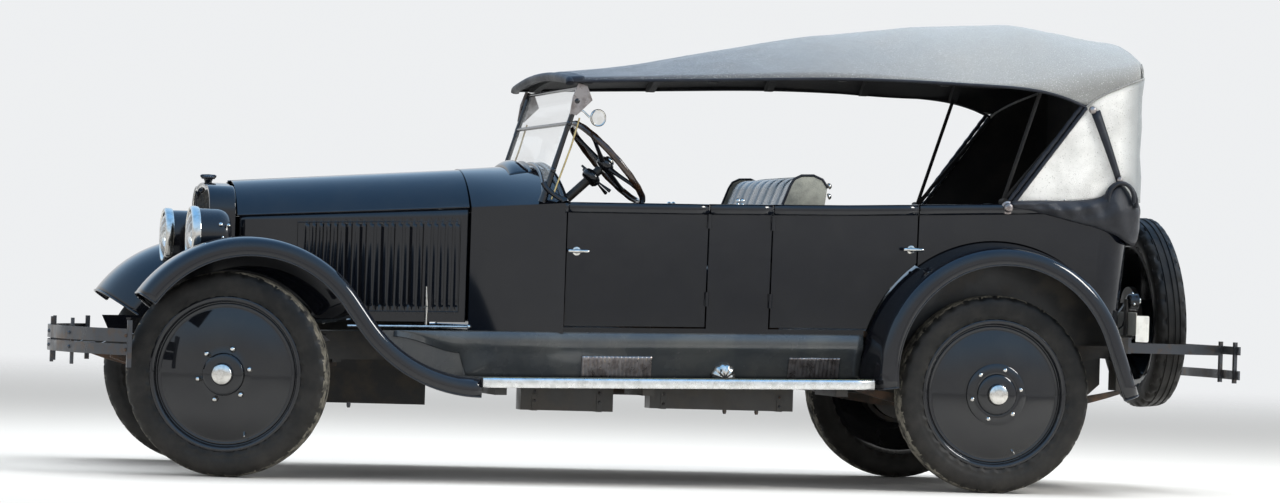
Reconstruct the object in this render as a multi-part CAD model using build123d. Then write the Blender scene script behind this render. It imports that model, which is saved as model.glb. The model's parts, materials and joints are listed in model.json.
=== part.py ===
from build123d import *
import math
import os

# 1920s touring car, millimetres. The car faces -X, its left (driver's) side is at -Y, +Z is up.
# The origin is on the ground under the middle of the car's box.
# Lengths along the car are given as distances behind the front axle, called d.

# Overall size
WHEELBASE = 3250.0
FRONT_REACH = 700.0       # front axle to the front bumper's foremost face
REAR_REACH = 1170.0       # rear axle to the rear bumper's rearmost face
TRACK = 1440.0
FENDER_HALF = TRACK / 2 + 150     # half width over the fenders and running boards
RAKE = 0.020              # rise of the frame and body per unit of length, towards the rear
COWL_D = 1032.0           # front edge of the cowl, at the firewall
BODY_FRONT_D = 1395.0     # rear edge of the cowl, front edge of the front door

FRONT_AXLE_X = FRONT_REACH - (FRONT_REACH + WHEELBASE + REAR_REACH) / 2
REAR_AXLE_D = WHEELBASE
AXLE_Z = 422.5            # wheel centre, equal to the tyre's radius

# Wheels
TYRE_R = AXLE_Z
TYRE_HALF = 69.0          # half the tyre's section width
TREAD_HALF = 52.0
BEAD_R = 312.0
BEAD_HALF = 44.0
RIM_LIP = 10.0
RIM_T = 16.0
DISC_T = 6.0
HUB_R = 55.0
HUB_IN = 38.0             # hub's inner end, inboard of the wheel's middle plane
CAP_R = 44.0
CAP_OUT = 118.0           # hub cap's face, outboard of the wheel's middle plane
FLANGE_R = 87.0
NUT_R = 16.0
NUT_CIRCLE = 112.0
NUT_COUNT = 6
SPINDLE_R = 20.0
RUNNING_FIT = 0.05        # radial play of a shaft in its bore
DRUM_R = 170.0

# Steering
KINGPIN_Y = TRACK / 2 - 95
KINGPIN_R = 12.0
STEER_REST = 22.0         # degrees that the front wheels are turned to the right at rest
ARM_LENGTH = 160.0
TIE_ROD_R = 13.0
PIN_R = 8.0
OPEN_PIVOT_PLAY = 1.5     # radial clearance at the tie rod's right end
COLUMN_RISE = 43.0        # degrees above level
COLUMN_R = 19.0
WHEEL_HUB_D = BODY_FRONT_D + 225
WHEEL_HUB_Y = -345.0
WHEEL_HUB_Z = 1360.0
STEERING_R = 222.0
STEERING_RIM = 13.0

# Frame
FRAME_TOP = 600.0
FRAME_DEEP = 120.0
RAIL_W = 50.0
RAIL_FRONT_Y = 385.0      # outer face of a rail at the engine
RAIL_REAR_Y = 465.0       # outer face of a rail under the body
SEAT_GAP = 0.3            # how far a bolted-on piece lies from its seat
HORN_D = 155 - FRONT_REACH
HORN_Z = 506.0
FRONT_EYE_D = HORN_D + 65         # front eye of the front spring
BRACKETS = [(1070, 412), (1700, RAIL_REAR_Y), (2540, RAIL_REAR_Y)]
BRACKET_W = 50.0
BRACKET_DEEP = 34.0
BRACKET_REACH = 800.0
FRAME_END_D = WHEELBASE + 700
REAR_EYE_D = FRAME_END_D - 65         # rear eye of the rear spring
REAR_MEMBER_D = FRAME_END_D - 10      # rear face of the last cross member
SPRING_W = 50.0
FRONT_SPRING_Y = 360.0
REAR_SPRING_Y = 530.0

# Body
FRONT_DOOR_REAR = 2005.0
REAR_DOOR_FRONT = 2279.0
REAR_DOOR_REAR = WHEELBASE - 336
BODY_BACK_D = FRAME_END_D - 50
BODY_HALF_FRONT = 600.0
BODY_HALF = 700.0
TUMBLE = 25.0             # how much narrower the body is at its base
BODY_WALL = 38.0
CORNER_R = 170.0
SILL_H = 25.0
DOOR_GAP = 7.0
FLOOR_T = 22.0
BELT = [(BODY_FRONT_D, 1177), (1950, 1187), (2610, 1204), (3280, 1232), (4060, 1267.75)]

# Bonnet, radiator and cowl
SHELL_FRONT_D = -75.0
SHELL_REAR_D = 38.0
SHELL_HALF = 288.0
SHELL_TOP = 1222.0
FILLER_D = -45.0          # radiator cap
FILLER_R = 15.0
FILLER_CAP_R = 28.0
FILLER_RISE = 24.0
HOOD_FRONT_D = SHELL_REAR_D + 8
HOOD_REAR_D = COWL_D - 8
SIDE_LEAF_FRONT = 8.0     # how much further back the side leaf starts, to swing clear of the shell
SIDE_LEAF_REAR = 3.0
HOOD_HALF_FRONT = SHELL_HALF - 3
HOOD_HALF_REAR = 360.0
CREASE_FRONT = 1083.0
CREASE_REAR = 1150.0
CROWN_FRONT = SHELL_TOP + 12
CROWN_REAR = 1314.0
HOOD_BASE = FRAME_TOP + 40
HOOD_T = 3.0
HINGE_R = 5.0
HINGE_PLAY = 0.3
LOUVRES = 22
LOUVRE_FIRST = 330.0
LOUVRE_LAST = HOOD_REAR_D - 59
LOUVRE_LOW = 705.0
LOUVRE_HIGH = 1045.0
LOUVRE_W = 17.0
LOUVRE_OUT = 9.0

# Fenders, boards and aprons
SHEET = 4.0
FF_CENTRE = (32.0, 438.0)     # d and z of the front fender's arc
FF_R = 548.0
FF_TIP = 146.0                # degrees at which the front tip lies
FF_SLOPE = 54.0               # degrees down, where the fender leaves its arc
FF_INNER_DROP = 180.0         # how far the fender's inner side falls below its crown
RF_CENTRE = (WHEELBASE + 15, 500.0)
RF_R = 548.0
RF_FRONT = 187.0
RF_LEAVE = 20.0
RF_RISE = 28.0                # how much higher the fender's inner side is than its crown line
RF_HEEL_Z = 437.0
FENDER_LIP = 75.0
VALANCE_Y = RAIL_FRONT_Y + 55
WHEELHOUSE_Y = BODY_HALF - 80
WHEELHOUSE_LOW = 640.0
BOARD_FRONT = 1000.0
BOARD_REAR = WHEELBASE - 565
BOARD_TOP = 412.0
BOARD_T = 33.0
APRON_REAR_Y = WHEELHOUSE_Y - 8
APRON_MID_Y = BODY_HALF_FRONT - TUMBLE
APRON_MID_D = BODY_FRONT_D - 45

# Top
TOP_T = 10.0
# distance behind the front axle, half width, height where the crown starts, height at the middle
TOP_STATIONS = [
    (BODY_FRONT_D - 5, BODY_HALF_FRONT - 25, 1706, 1742),
    (1833, BODY_HALF_FRONT, 1730, 1810),
    (2554, BODY_HALF - 55, 1765, 1953),
    (WHEELBASE + 194, BODY_HALF - 20, 1752, 2045),
    (BODY_BACK_D + 25, BODY_HALF - 10, 1851, 1985),
]
TOP_EDGE = [
    (BODY_FRONT_D - 5, 1690),
    (2635, 1748),
    (WHEELBASE + 10, 1739),
    (WHEELBASE + 190, 1729),
    (WHEELBASE + 400, 1665),
]
BOW_STATIONS = [BODY_FRONT_D + 65, 2000, 2560, WHEELBASE - 240, WHEELBASE + 194]
BOW_W = 34.0
BOW_DEEP = 24.0
BOOT_FRONT_D = WHEELBASE + 85     # front edge of the closed quarter at the belt
IRON_FOOT_D = WHEELBASE + 50
IRON_FOOT_R = 14.0
IRON_Y = BODY_HALF - 60
IRON_R = 8.0
IRON_HEADS = [(WHEELBASE + 211, 1745), (WHEELBASE + 390, 1655)]
REAR_LIGHT_HALF = 290.0
REAR_LIGHT_LOW = 1470.0
REAR_LIGHT_HIGH = 1650.0

# Windshield
LEAN = 17.2
SCREEN_D = BODY_FRONT_D - 87
SCREEN_Z = 1200.0
SCREEN_HALF = BODY_HALF_FRONT - 68
POST_R = 11.0
SCREEN_BAR_R = 8.0
SCREEN_SPLIT = 330.0
SCREEN_TOP = 500.0
GLASS_T = 6.0

# Lamps and bumpers
LAMP_Y = SHELL_HALF + 142
LAMP_Z = 993.0
LAMP_R = 118.0
LAMP_FRONT_D = -167.0
LAMP_BACK_D = -5.0
LAMP_BAR_D = -95.0
BUMPER_HALF = 790.0
BUMPER_BOW = 240.0
BUMPER_BAR_T = 9.0
FRONT_BARS = [(512.0, 46.0), (570.0, 54.0)]      # middle height, depth
REAR_BARS = [(531.0, 39.0), (637.0, 36.0)]
REAR_BUMPER_HALF = 760.0
REAR_BUMPER_BOW = 60.0
SPARE_D = FRAME_END_D + 222
SPARE_Z = 790.0
SPARE_LEAN = 4.7


def at(d, z):
    """A point of a side outline, from its distance behind the front axle."""
    return (FRONT_AXLE_X + d, z)


def raked(d, z):
    """A point of a side outline that rises with the frame."""
    return (FRONT_AXLE_X + d, z + RAKE * d)


def side_prism(points, y0, y1):
    """A solid with this outline seen from the side."""
    face = make_face(Polyline(*[(x, 0, z) for x, z in points], close=True))
    return Pos(0, y0, 0) * extrude(face, amount=y1 - y0, dir=(0, 1, 0))


def plan_prism(points, z0, z1):
    """A solid with this outline seen from above, its points given as d and y."""
    face = make_face(Polyline(*[(FRONT_AXLE_X + d, y, 0) for d, y in points], close=True))
    return Pos(0, 0, z0) * extrude(face, amount=z1 - z0, dir=(0, 0, 1))


def block(d0, d1, y0, y1, z0, z1):
    """A box between two distances behind the front axle."""
    return Pos(FRONT_AXLE_X + d0, y0, z0) * Box(
        d1 - d0, y1 - y0, z1 - z0, align=(Align.MIN, Align.MIN, Align.MIN)
    )


def slab(d0, d1, y0, y1, z0, z1):
    """A box whose top and bottom rise with the frame."""
    return side_prism([raked(d0, z0), raked(d1, z0), raked(d1, z1), raked(d0, z1)], y0, y1)


def rod(p, q, radius):
    """A round bar between two points."""
    start = Vector(*p)
    run = Vector(*q) - start
    plane = Plane(origin=start, z_dir=run)
    return plane * Cylinder(radius, run.length, align=(Align.CENTER, Align.CENTER, Align.MIN))


def both(shape):
    """A piece and its mirror image on the other side."""
    return shape + mirror(shape, about=Plane.XZ)


def line_z(table, d):
    """Height of a broken line at a distance behind the front axle."""
    for (d0, z0), (d1, z1) in zip(table, table[1:]):
        if d <= d1:
            return z0 + (z1 - z0) * (d - d0) / (d1 - d0)
    return table[-1][1]


def write(name, shape):
    export_step(shape, os.path.join("parts", name + ".step"))


# Wheels


def turned(points):
    """A solid of revolution about Y, from points of radius and place along Y."""
    face = make_face(Polyline(*[(r, y, 0) for r, y in points], close=True))
    return revolve(face, axis=Axis.Y)


def tyre():
    half = [
        (BEAD_R, BEAD_HALF),
        (BEAD_R + RIM_LIP + 2, BEAD_HALF),
        (BEAD_R + 38, TYRE_HALF - 1),
        (TYRE_R - 30.5, TYRE_HALF),
        (TYRE_R - 8.5, TYRE_HALF - 5),
        (TYRE_R, TREAD_HALF),
    ]
    points = half + [(r, -y) for r, y in reversed(half)]
    return turned(points)


def disc(drum, bore):
    """A disc wheel with its rim and hub. Its outer face looks to -Y."""
    lip = BEAD_R + RIM_LIP
    rim_in = BEAD_R - RIM_T
    rim_out = BEAD_HALF + 8
    points = [
        (0, -CAP_OUT),
        (CAP_R - 7, -CAP_OUT),
        (CAP_R, -CAP_OUT + 9),
        (CAP_R, -90),
        (FLANGE_R - 8, -88),
        (FLANGE_R, -80),
        (FLANGE_R, -66),
        (200, -52),
        (rim_in - 8, -30),
        (rim_in, -30),
        (rim_in, -rim_out),
        (lip, -rim_out),
        (lip, -BEAD_HALF - 1),
        (BEAD_R, -BEAD_HALF - 1),
        (BEAD_R, BEAD_HALF + 1),
        (lip, BEAD_HALF + 1),
        (lip, rim_out),
        (rim_in, rim_out),
        (rim_in, -30 + DISC_T),
        (200, -52 + DISC_T),
        (110, -64 + DISC_T),
        (HUB_R, -64 + DISC_T),
        (HUB_R, HUB_IN),
        (bore + RUNNING_FIT, HUB_IN),
        (bore + RUNNING_FIT, -70),
        (0, -70),
    ]
    shape = turned(points)
    for i in range(NUT_COUNT):
        turn = Rot(0, 360.0 * i / NUT_COUNT + 12, 0)
        nut = rod((NUT_CIRCLE, -60, 0), (NUT_CIRCLE, -80, 0), NUT_R)
        shape += turn * nut
    if drum:
        ring = [(DRUM_R - 12, -54), (DRUM_R, -54), (DRUM_R, 45), (DRUM_R - 12, 45)]
        shape += turned(ring)
    return shape


def wheel_place(d, side):
    """Moves a left wheel's shape to its axle end."""
    return Pos(FRONT_AXLE_X + d, side * TRACK / 2, AXLE_Z)


def set_wheel(shape, d, side):
    turned_shape = shape if side < 0 else Rot(0, 0, 180) * shape
    return wheel_place(d, side) * turned_shape


def steered(shape, side):
    """Turns a piece about its kingpin to the angle at rest."""
    pin = (FRONT_AXLE_X, side * KINGPIN_Y, 0)
    back = (-FRONT_AXLE_X, -side * KINGPIN_Y, 0)
    return Pos(*pin) * Rot(0, 0, -STEER_REST) * Pos(*back) * shape


def make_wheels():
    plain = disc(False, SPINDLE_R)
    rear = disc(True, SPINDLE_R + 5)
    rubber = tyre()
    for tag, side in (("left", -1), ("right", 1)):
        write("tyre_front_" + tag, steered(set_wheel(rubber, 0, side), side))
        write("disc_front_" + tag, steered(set_wheel(plain, 0, side), side))
        write("tyre_rear_" + tag, set_wheel(rubber, REAR_AXLE_D, side))
        write("disc_rear_" + tag, set_wheel(rear, REAR_AXLE_D, side))
    place = Pos(FRONT_AXLE_X + SPARE_D, 0, SPARE_Z) * Rot(0, -SPARE_LEAN, 0) * Rot(0, 0, 90)
    write("spare_tyre", place * rubber)
    write("spare_disc", place * plain)


# Axles, springs and steering

EYE_LOW = AXLE_Z - 36.5
EYE_HIGH = AXLE_Z + 36.5
LUG_T = 24.0
LUG_PLAY = 0.4
EYE_R = 28.0
BEAM_LOW = AXLE_Z - 87.5
BEAM_T = 55.0


def front_axle():
    beam = [
        (0, BEAM_LOW),
        (440, BEAM_LOW),
        (560, EYE_LOW + 8),
        (KINGPIN_Y, EYE_LOW + 8),
        (KINGPIN_Y, EYE_HIGH - 8),
        (560, EYE_HIGH - 8),
        (440, BEAM_LOW + BEAM_T),
        (0, BEAM_LOW + BEAM_T),
    ]
    face = make_face(Polyline(*[(0, y, z) for y, z in beam], close=True))
    half = Pos(FRONT_AXLE_X - 22, 0, 0) * extrude(face, amount=44, dir=(1, 0, 0))
    eye = rod((FRONT_AXLE_X, KINGPIN_Y, EYE_LOW), (FRONT_AXLE_X, KINGPIN_Y, EYE_HIGH), EYE_R)
    low = (FRONT_AXLE_X, KINGPIN_Y, EYE_LOW - 5)
    high = (FRONT_AXLE_X, KINGPIN_Y, EYE_HIGH + 5)
    half = half + eye - rod(low, high, KINGPIN_R + RUNNING_FIT)
    return both(half)


def knuckle(side):
    """Fork, kingpin, spindle and steering arm, before it is turned to its rest angle."""
    lug_low = EYE_LOW - LUG_PLAY
    lug_high = EYE_HIGH + LUG_PLAY
    y = KINGPIN_Y
    web_in = y + EYE_R + 5
    web_out = TRACK / 2 - HUB_IN - 7
    shape = block(-24, 24, web_in, web_out, lug_low - LUG_T, lug_high + LUG_T)
    for z in (lug_low - LUG_T, lug_high):
        shape += rod((FRONT_AXLE_X, y, z), (FRONT_AXLE_X, y, z + LUG_T), EYE_R - 3)
        shape += block(-24, 24, y, web_in, z, z + LUG_T)
    foot = (FRONT_AXLE_X, y, lug_low - LUG_T)
    head = (FRONT_AXLE_X, y, lug_high + LUG_T)
    shape += rod(foot, head, KINGPIN_R)
    hub_end = TRACK / 2 + 62
    shape += rod((FRONT_AXLE_X, web_out - 1, AXLE_Z), (FRONT_AXLE_X, hub_end, AXLE_Z), SPINDLE_R)
    arm_top = lug_low - 4
    shape += block(0, ARM_LENGTH, y - 13, y + 13, lug_low - LUG_T, arm_top)
    boss = (FRONT_AXLE_X + ARM_LENGTH, y, lug_low - LUG_T)
    shape += rod(boss, (boss[0], y, arm_top), 17)
    shape += rod(boss, (boss[0], y, TIE_Z - TIE_EYE_T / 2 - 4), PIN_R)
    if side < 0:
        shape = mirror(shape, about=Plane.XZ)
    return shape


TIE_EYE_T = 24.0
TIE_Z = EYE_LOW - LUG_PLAY - LUG_T - TIE_EYE_T / 2 - 1


def tie_rod():
    turn = math.radians(-STEER_REST)
    x = FRONT_AXLE_X + ARM_LENGTH * math.cos(turn)
    shift = ARM_LENGTH * math.sin(turn)
    left = (x, -KINGPIN_Y + shift, TIE_Z)
    right = (x, KINGPIN_Y + shift, TIE_Z)
    shape = rod(left, right, TIE_ROD_R)
    low = TIE_Z - TIE_EYE_T / 2
    high = TIE_Z + TIE_EYE_T / 2
    for end, play in ((left, RUNNING_FIT), (right, OPEN_PIVOT_PLAY)):
        shape += rod((x, end[1], low), (x, end[1], high), 20)
        shape -= rod((x, end[1], low - 1), (x, end[1], high + 1), PIN_R + play)
    return shape


def leaf_spring(front, middle, back, thick, y):
    """A pack of leaves: thick in the middle and thin at the two eyes."""
    x0, z0 = at(*front)
    x1, z1 = at(*middle)
    x2, z2 = at(*back)
    upper = ThreePointArc((x0, 0, z0 + 8), (x1, 0, z1 + thick / 2), (x2, 0, z2 + 8))
    lower = ThreePointArc((x0, 0, z0 - 8), (x1, 0, z1 - thick / 2), (x2, 0, z2 - 8))
    ends = Line(upper @ 0, lower @ 0) + Line(upper @ 1, lower @ 1)
    face = make_face(upper + lower + ends)
    return Pos(0, y - SPRING_W / 2, 0) * extrude(face, amount=SPRING_W, dir=(0, 1, 0))


SPRING_T = 50.0
FRONT_SPRING_MID = BEAM_LOW + BEAM_T + SPRING_T / 2 + SEAT_GAP
AXLE_TUBE_R = 42.0
REAR_SPRING_MID = AXLE_Z - AXLE_TUBE_R - SPRING_T / 2 - SEAT_GAP


def springs():
    front = leaf_spring((FRONT_EYE_D, 480), (0, FRONT_SPRING_MID), (470, 470), SPRING_T, FRONT_SPRING_Y)
    rear_mid = (REAR_AXLE_D, REAR_SPRING_MID)
    rear = leaf_spring((2620, 452), rear_mid, (REAR_EYE_D, 440), SPRING_T, REAR_SPRING_Y)
    return both(front) + both(rear)


def rear_axle():
    x = FRONT_AXLE_X + REAR_AXLE_D
    end = TRACK / 2 - 70
    shape = rod((x, -end, AXLE_Z), (x, end, AXLE_Z), AXLE_TUBE_R)
    shape += rod((x, -end, AXLE_Z), (x, -TRACK / 2 - 62, AXLE_Z), SPINDLE_R + 5)
    shape += rod((x, end, AXLE_Z), (x, TRACK / 2 + 62, AXLE_Z), SPINDLE_R + 5)
    for y in (-end, end - 14):
        shape += rod((x, y, AXLE_Z), (x, y + 14, AXLE_Z), DRUM_R - 18)
    shape += Pos(x, 0, AXLE_Z) * Sphere(142)
    tube_end = (FRONT_AXLE_X + GEARBOX_REAR, 0, 478)
    shape += rod((x, 0, AXLE_Z), tube_end, 38)
    return shape - engine()


ENGINE_FRONT = 120.0
ENGINE_REAR = COWL_D - 132
ENGINE_HALF = 180.0
GEARBOX_REAR = COWL_D + 318


def engine():
    shape = block(ENGINE_FRONT, ENGINE_REAR, -ENGINE_HALF, ENGINE_HALF, 450, 970)
    shape += block(320, ENGINE_REAR, -130, 130, 300, 450)
    shape += block(ENGINE_REAR, GEARBOX_REAR, -130, 130, 420, 590)
    for d in (ENGINE_FRONT + 100, ENGINE_REAR - 120):
        reach = RAIL_FRONT_Y - RAIL_W
        shape += block(d, d + 60, -reach, reach, 520, 570)
    return shape


# Frame


def rails():
    inner_front = RAIL_FRONT_Y - RAIL_W
    inner_rear = RAIL_REAR_Y - RAIL_W
    plan = [
        (HORN_D - 40, inner_front),
        (900, inner_front),
        (1450, inner_rear),
        (FRAME_END_D, inner_rear),
        (FRAME_END_D, RAIL_REAR_Y),
        (1450, RAIL_REAR_Y),
        (900, RAIL_FRONT_Y),
        (HORN_D - 40, RAIL_FRONT_Y),
    ]
    low = FRAME_TOP - FRAME_DEEP
    outline = [
        raked(FRAME_END_D, FRAME_TOP),
        raked(-180, FRAME_TOP),
        at(HORN_D + 165, 575),
        at(HORN_D + 55, 545),
        at(HORN_D, HORN_Z + 10),
        at(HORN_D, HORN_Z - 10),
        at(HORN_D + 12, HORN_Z - 18),
        at(FRONT_EYE_D, HORN_Z - 18),
        at(FRONT_EYE_D + 150, 515),
        raked(-120, low),
        raked(FRAME_END_D - 300, low),
        raked(FRAME_END_D, low + 50),
    ]
    return plan_prism(plan, 0, 1000) & side_prism(outline, 0, 600)


def spring_hanger(d, z, y_in, y_out):
    """A bracket from the rail down to a spring's eye."""
    return block(d - 18, d + 18, y_in, y_out, z + 8, FRAME_TOP + RAKE * d - 45)


def board_bracket(d, rail_y):
    """An arm under a running board, with its foot on the rail."""
    low = BOARD_TOP - BOARD_T - BRACKET_DEEP
    foot = slab(d, d + BRACKET_W, rail_y - 5, rail_y + 14, low, FRAME_TOP - 60)
    arm = slab(d, d + BRACKET_W, rail_y - 5, BRACKET_REACH, low, BOARD_TOP - BOARD_T)
    return foot + arm


def board_brackets():
    half = None
    for d, rail_y in BRACKETS:
        half = board_bracket(d, rail_y) if half is None else half + board_bracket(d, rail_y)
    return both(half - rails())


def frame():
    half = rails()
    rear_out = REAR_SPRING_Y + SPRING_W / 2
    half += spring_hanger(470, 470, RAIL_FRONT_Y - RAIL_W, RAIL_FRONT_Y)
    half += spring_hanger(2620, 452, RAIL_REAR_Y - 10, rear_out)
    half += spring_hanger(REAR_EYE_D, 440, RAIL_REAR_Y - 10, rear_out)
    for d in (-300, 380):
        half += slab(d, d + 40, RAIL_FRONT_Y - 5, VALANCE_Y - SHEET, 540, 580)
    shape = both(half)
    front_reach = RAIL_FRONT_Y - RAIL_W + 5
    shape += slab(-60, -5, -front_reach, front_reach, FRAME_TOP - 95, FRAME_TOP - SEAT_GAP + 0.1)
    members = [
        (1400, 1460, RAIL_REAR_Y - RAIL_W + 5),
        (2450, 2510, RAIL_REAR_Y - RAIL_W + 5),
        (REAR_MEMBER_D - 60, REAR_MEMBER_D, RAIL_REAR_Y - RAIL_W + 5),
    ]
    for d0, d1, reach in members:
        shape += slab(d0, d1, -reach, reach, FRAME_TOP - 95, FRAME_TOP - 10)
    return shape


def spare_carrier():
    """Two arms and a plate that the spare wheel's hub is bolted to."""
    z = FRAME_TOP + RAKE * FRAME_END_D
    arm = side_prism(
        [
            at(REAR_MEMBER_D, z - 80),
            at(REAR_MEMBER_D, z - 20),
            at(SPARE_D - 112, SPARE_Z + 40),
            at(SPARE_D - 22, SPARE_Z + 40),
            at(SPARE_D - 22, SPARE_Z - 50),
            at(REAR_MEMBER_D + 70, z - 80),
        ],
        80,
        105,
    )
    shape = both(arm)
    lean = Pos(FRONT_AXLE_X + SPARE_D, 0, SPARE_Z) * Rot(0, -SPARE_LEAN, 0)
    plate = lean * rod((-HUB_IN - 22, 0, 0), (-HUB_IN, 0, 0), 118)
    behind = lean * block(-FRONT_AXLE_X - HUB_IN, -FRONT_AXLE_X + 400, -600, 600, -600, 600)
    return shape + plate - behind


UNDER_BOXES = [(1240, 1640, 300), (1800, 2430, 320)]      # front, rear and lowest height
UNDER_BOX_OUT = 45.0


def under_boxes():
    """Battery box and tool box hung under the left rail."""
    shape = None
    for d0, d1, low in UNDER_BOXES:
        box = side_prism(
            [at(d0, low), at(d1, low), raked(d1, FRAME_TOP - FRAME_DEEP), raked(d0, FRAME_TOP - FRAME_DEEP)],
            -RAIL_REAR_Y - UNDER_BOX_OUT,
            -RAIL_REAR_Y + RAIL_W,
        )
        shape = box if shape is None else shape + box
    return shape


def exhaust():
    y = 270
    z = 430
    path = [
        (FRONT_AXLE_X + 700, 215, 430),
        (FRONT_AXLE_X + 1500, y, z),
        (FRONT_AXLE_X + 2350, y, z),
        (FRONT_AXLE_X + 2850, y, z),
    ]
    shape = rod(path[0], path[1], 24) + rod(path[1], path[2], 75) + rod(path[2], path[3], 22)
    shape += block(1580, 1610, y - 20, RAIL_REAR_Y - RAIL_W - SEAT_GAP, 470, 535)
    shape += block(2520, 2550, y - 8, RAIL_REAR_Y - RAIL_W - SEAT_GAP, z, 560)
    return shape - engine()


TANK_LOW = 425.0
TANK_HIGH = 640.0


def fuel_tank():
    """An oval tank between the rails behind the rear axle."""
    reach = RAIL_REAR_Y - RAIL_W
    front = FRAME_END_D - 470
    back = FRAME_END_D - 110
    profile = [
        at(front, TANK_LOW + 45),
        at(front + 50, TANK_LOW),
        at(back - 50, TANK_LOW),
        at(back, TANK_LOW + 45),
        at(back, TANK_HIGH - 30),
        at(back - 50, TANK_HIGH),
        at(front + 50, TANK_HIGH),
        at(front, TANK_HIGH - 30),
    ]
    return side_prism(profile, -reach, reach)


# Fenders, boards and aprons


def front_fender_path():
    """Arc over the wheel, a short straight and a reverse arc into the running board."""
    cx, cz = FF_CENTRE
    slope = math.radians(FF_SLOPE)
    tip = math.radians(FF_TIP)
    leave = math.radians(90 - FF_SLOPE)
    ex = cx + FF_R * math.cos(leave)
    ez = cz + FF_R * math.sin(leave)
    bx = BOARD_FRONT
    bz = BOARD_TOP + RAKE * BOARD_FRONT
    r2 = (bz - ez + math.tan(slope) * (bx - ex)) / (1 / math.cos(slope) - 1)
    sx = bx - r2 * math.sin(slope)
    sz = bz + r2 * (1 - math.cos(slope))
    mid = (tip + leave) / 2
    half = slope / 2

    def point(x, z):
        return (FRONT_AXLE_X + x, 0, z)

    start = point(cx + FF_R * math.cos(tip), cz + FF_R * math.sin(tip))
    over = point(cx + FF_R * math.cos(mid), cz + FF_R * math.sin(mid))
    bend = point(bx - r2 * math.sin(half), bz + r2 * (1 - math.cos(half)))
    arc = ThreePointArc(start, over, point(ex, ez))
    straight = Line(point(ex, ez), point(sx, sz))
    reverse = ThreePointArc(point(sx, sz), bend, point(bx, bz))
    return [arc, straight, reverse]


def rear_fender_path():
    cx, cz = RF_CENTRE
    front = math.radians(RF_FRONT)
    leave = math.radians(RF_LEAVE)
    mid = (front + leave) / 2

    def point(angle):
        return (FRONT_AXLE_X + cx + RF_R * math.cos(angle), 0, cz + RF_R * math.sin(angle))

    arc = ThreePointArc(point(front), point(mid), point(leave))
    drop = (point(leave)[2] - RF_HEEL_Z) / math.cos(leave)
    end = arc @ 1 + (arc % 1) * drop
    return [arc, Line(arc @ 1, end)]


def swept(edges, section):
    """Carries a section, points of y and height above the path, along a fender's path."""
    wire = Wire(edges)
    start = wire @ 0
    plane = Plane(origin=(start.X, 0, start.Z), x_dir=(0, 1, 0), z_dir=wire % 0)
    face = make_face(plane * Polyline(*section, close=True))
    return sweep(face, path=wire)


def front_fender():
    """The left front fender with its inner valance."""
    out = -FENDER_HALF
    inner = -VALANCE_Y
    outer_edge = [(out, -FENDER_LIP), (out, -22), (out + 22, -5), (out + 75, 0)]
    under_edge = [
        (out + 75, -SHEET),
        (out + 24, -5 - SHEET),
        (out + SHEET, -24),
        (out + SHEET, -FENDER_LIP),
    ]
    slope = [(-600, -20), (-530, -62), (-475, -115), (inner, -FF_INNER_DROP)]
    under_slope = [(inner, -FF_INNER_DROP - 2 * SHEET)]
    under_slope += [(y - 1, v - SHEET * 1.2) for y, v in reversed(slope[:-1])]
    flat = [(inner, -2), (inner, -2 - SHEET)]
    arc, straight, reverse = front_fender_path()
    shape = swept([arc], outer_edge + slope + under_slope + under_edge)
    shape += swept([straight, reverse], outer_edge + flat + under_edge)
    start = straight @ 0
    joint = Plane(origin=(start.X, 0, start.Z), x_dir=(0, 1, 0), z_dir=straight % 0)
    web_top = [(out + 75, -2), (out + 75, -2 - SHEET), (-600, -20 - SHEET)]
    web = make_face(joint * Polyline(*(under_slope[:-1] + web_top + [(inner, -2)]), close=True))
    shape += extrude(web, amount=SHEET, dir=straight % 0)
    cx, cz = FF_CENTRE
    steps = [math.radians(FF_TIP - i * (FF_TIP - 90 + FF_SLOPE) / 14) for i in range(15)]
    radius = FF_R - FF_INNER_DROP - SHEET
    arch = [at(cx + radius * math.cos(a), cz + radius * math.sin(a)) for a in steps]
    low = [at(430, 566), at(-250, 562), at(-400, 575), at(-430, 640)]
    shape += side_prism(arch + low, inner, inner + SHEET)
    return shape


def rear_fender():
    """The left rear fender with its inner wheelhouse wall."""
    out = -FENDER_HALF
    inner = -WHEELHOUSE_Y
    section = [
        (out, -FENDER_LIP),
        (out, -20),
        (out + 20, -3),
        (out + 50, 4),
        (inner - 60, RF_RISE),
        (inner, RF_RISE + 2),
        (inner, RF_RISE + 2 - SHEET),
        (inner - 60, RF_RISE - SHEET),
        (out + 50, 4 - SHEET),
        (out + 22, -3 - SHEET),
        (out + SHEET, -22),
        (out + SHEET, -FENDER_LIP),
    ]
    shape = swept(rear_fender_path(), section)
    cx, cz = RF_CENTRE
    radius = RF_R + RF_RISE
    foot = math.asin((WHEELHOUSE_LOW - cz) / radius)
    steps = [math.pi - foot - i * (math.pi - 2 * foot) / 14 for i in range(15)]
    arch = [at(cx + radius * math.cos(a), cz + radius * math.sin(a)) for a in steps]
    return shape + side_prism(arch, inner - SHEET, inner)


FF_FILL_D = 640.0


def fender_line():
    """Points just above the reverse arc of the front fender, from its front to the board."""
    reverse = front_fender_path()[2]
    points = [reverse @ (0.25 * i) for i in range(1, 5)]
    return [(p.X, p.Z - SHEET) for p in points]


def board_plan():
    """Left running board seen from above, from its inner edge out."""
    seat = SHEET + SEAT_GAP
    return [
        (BOARD_FRONT, -VALANCE_Y - seat),
        (APRON_MID_D, -APRON_MID_Y - seat),
        (BOARD_REAR, -APRON_REAR_Y - seat),
        (BOARD_REAR, -FENDER_HALF),
        (BOARD_FRONT, -FENDER_HALF),
    ]


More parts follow.
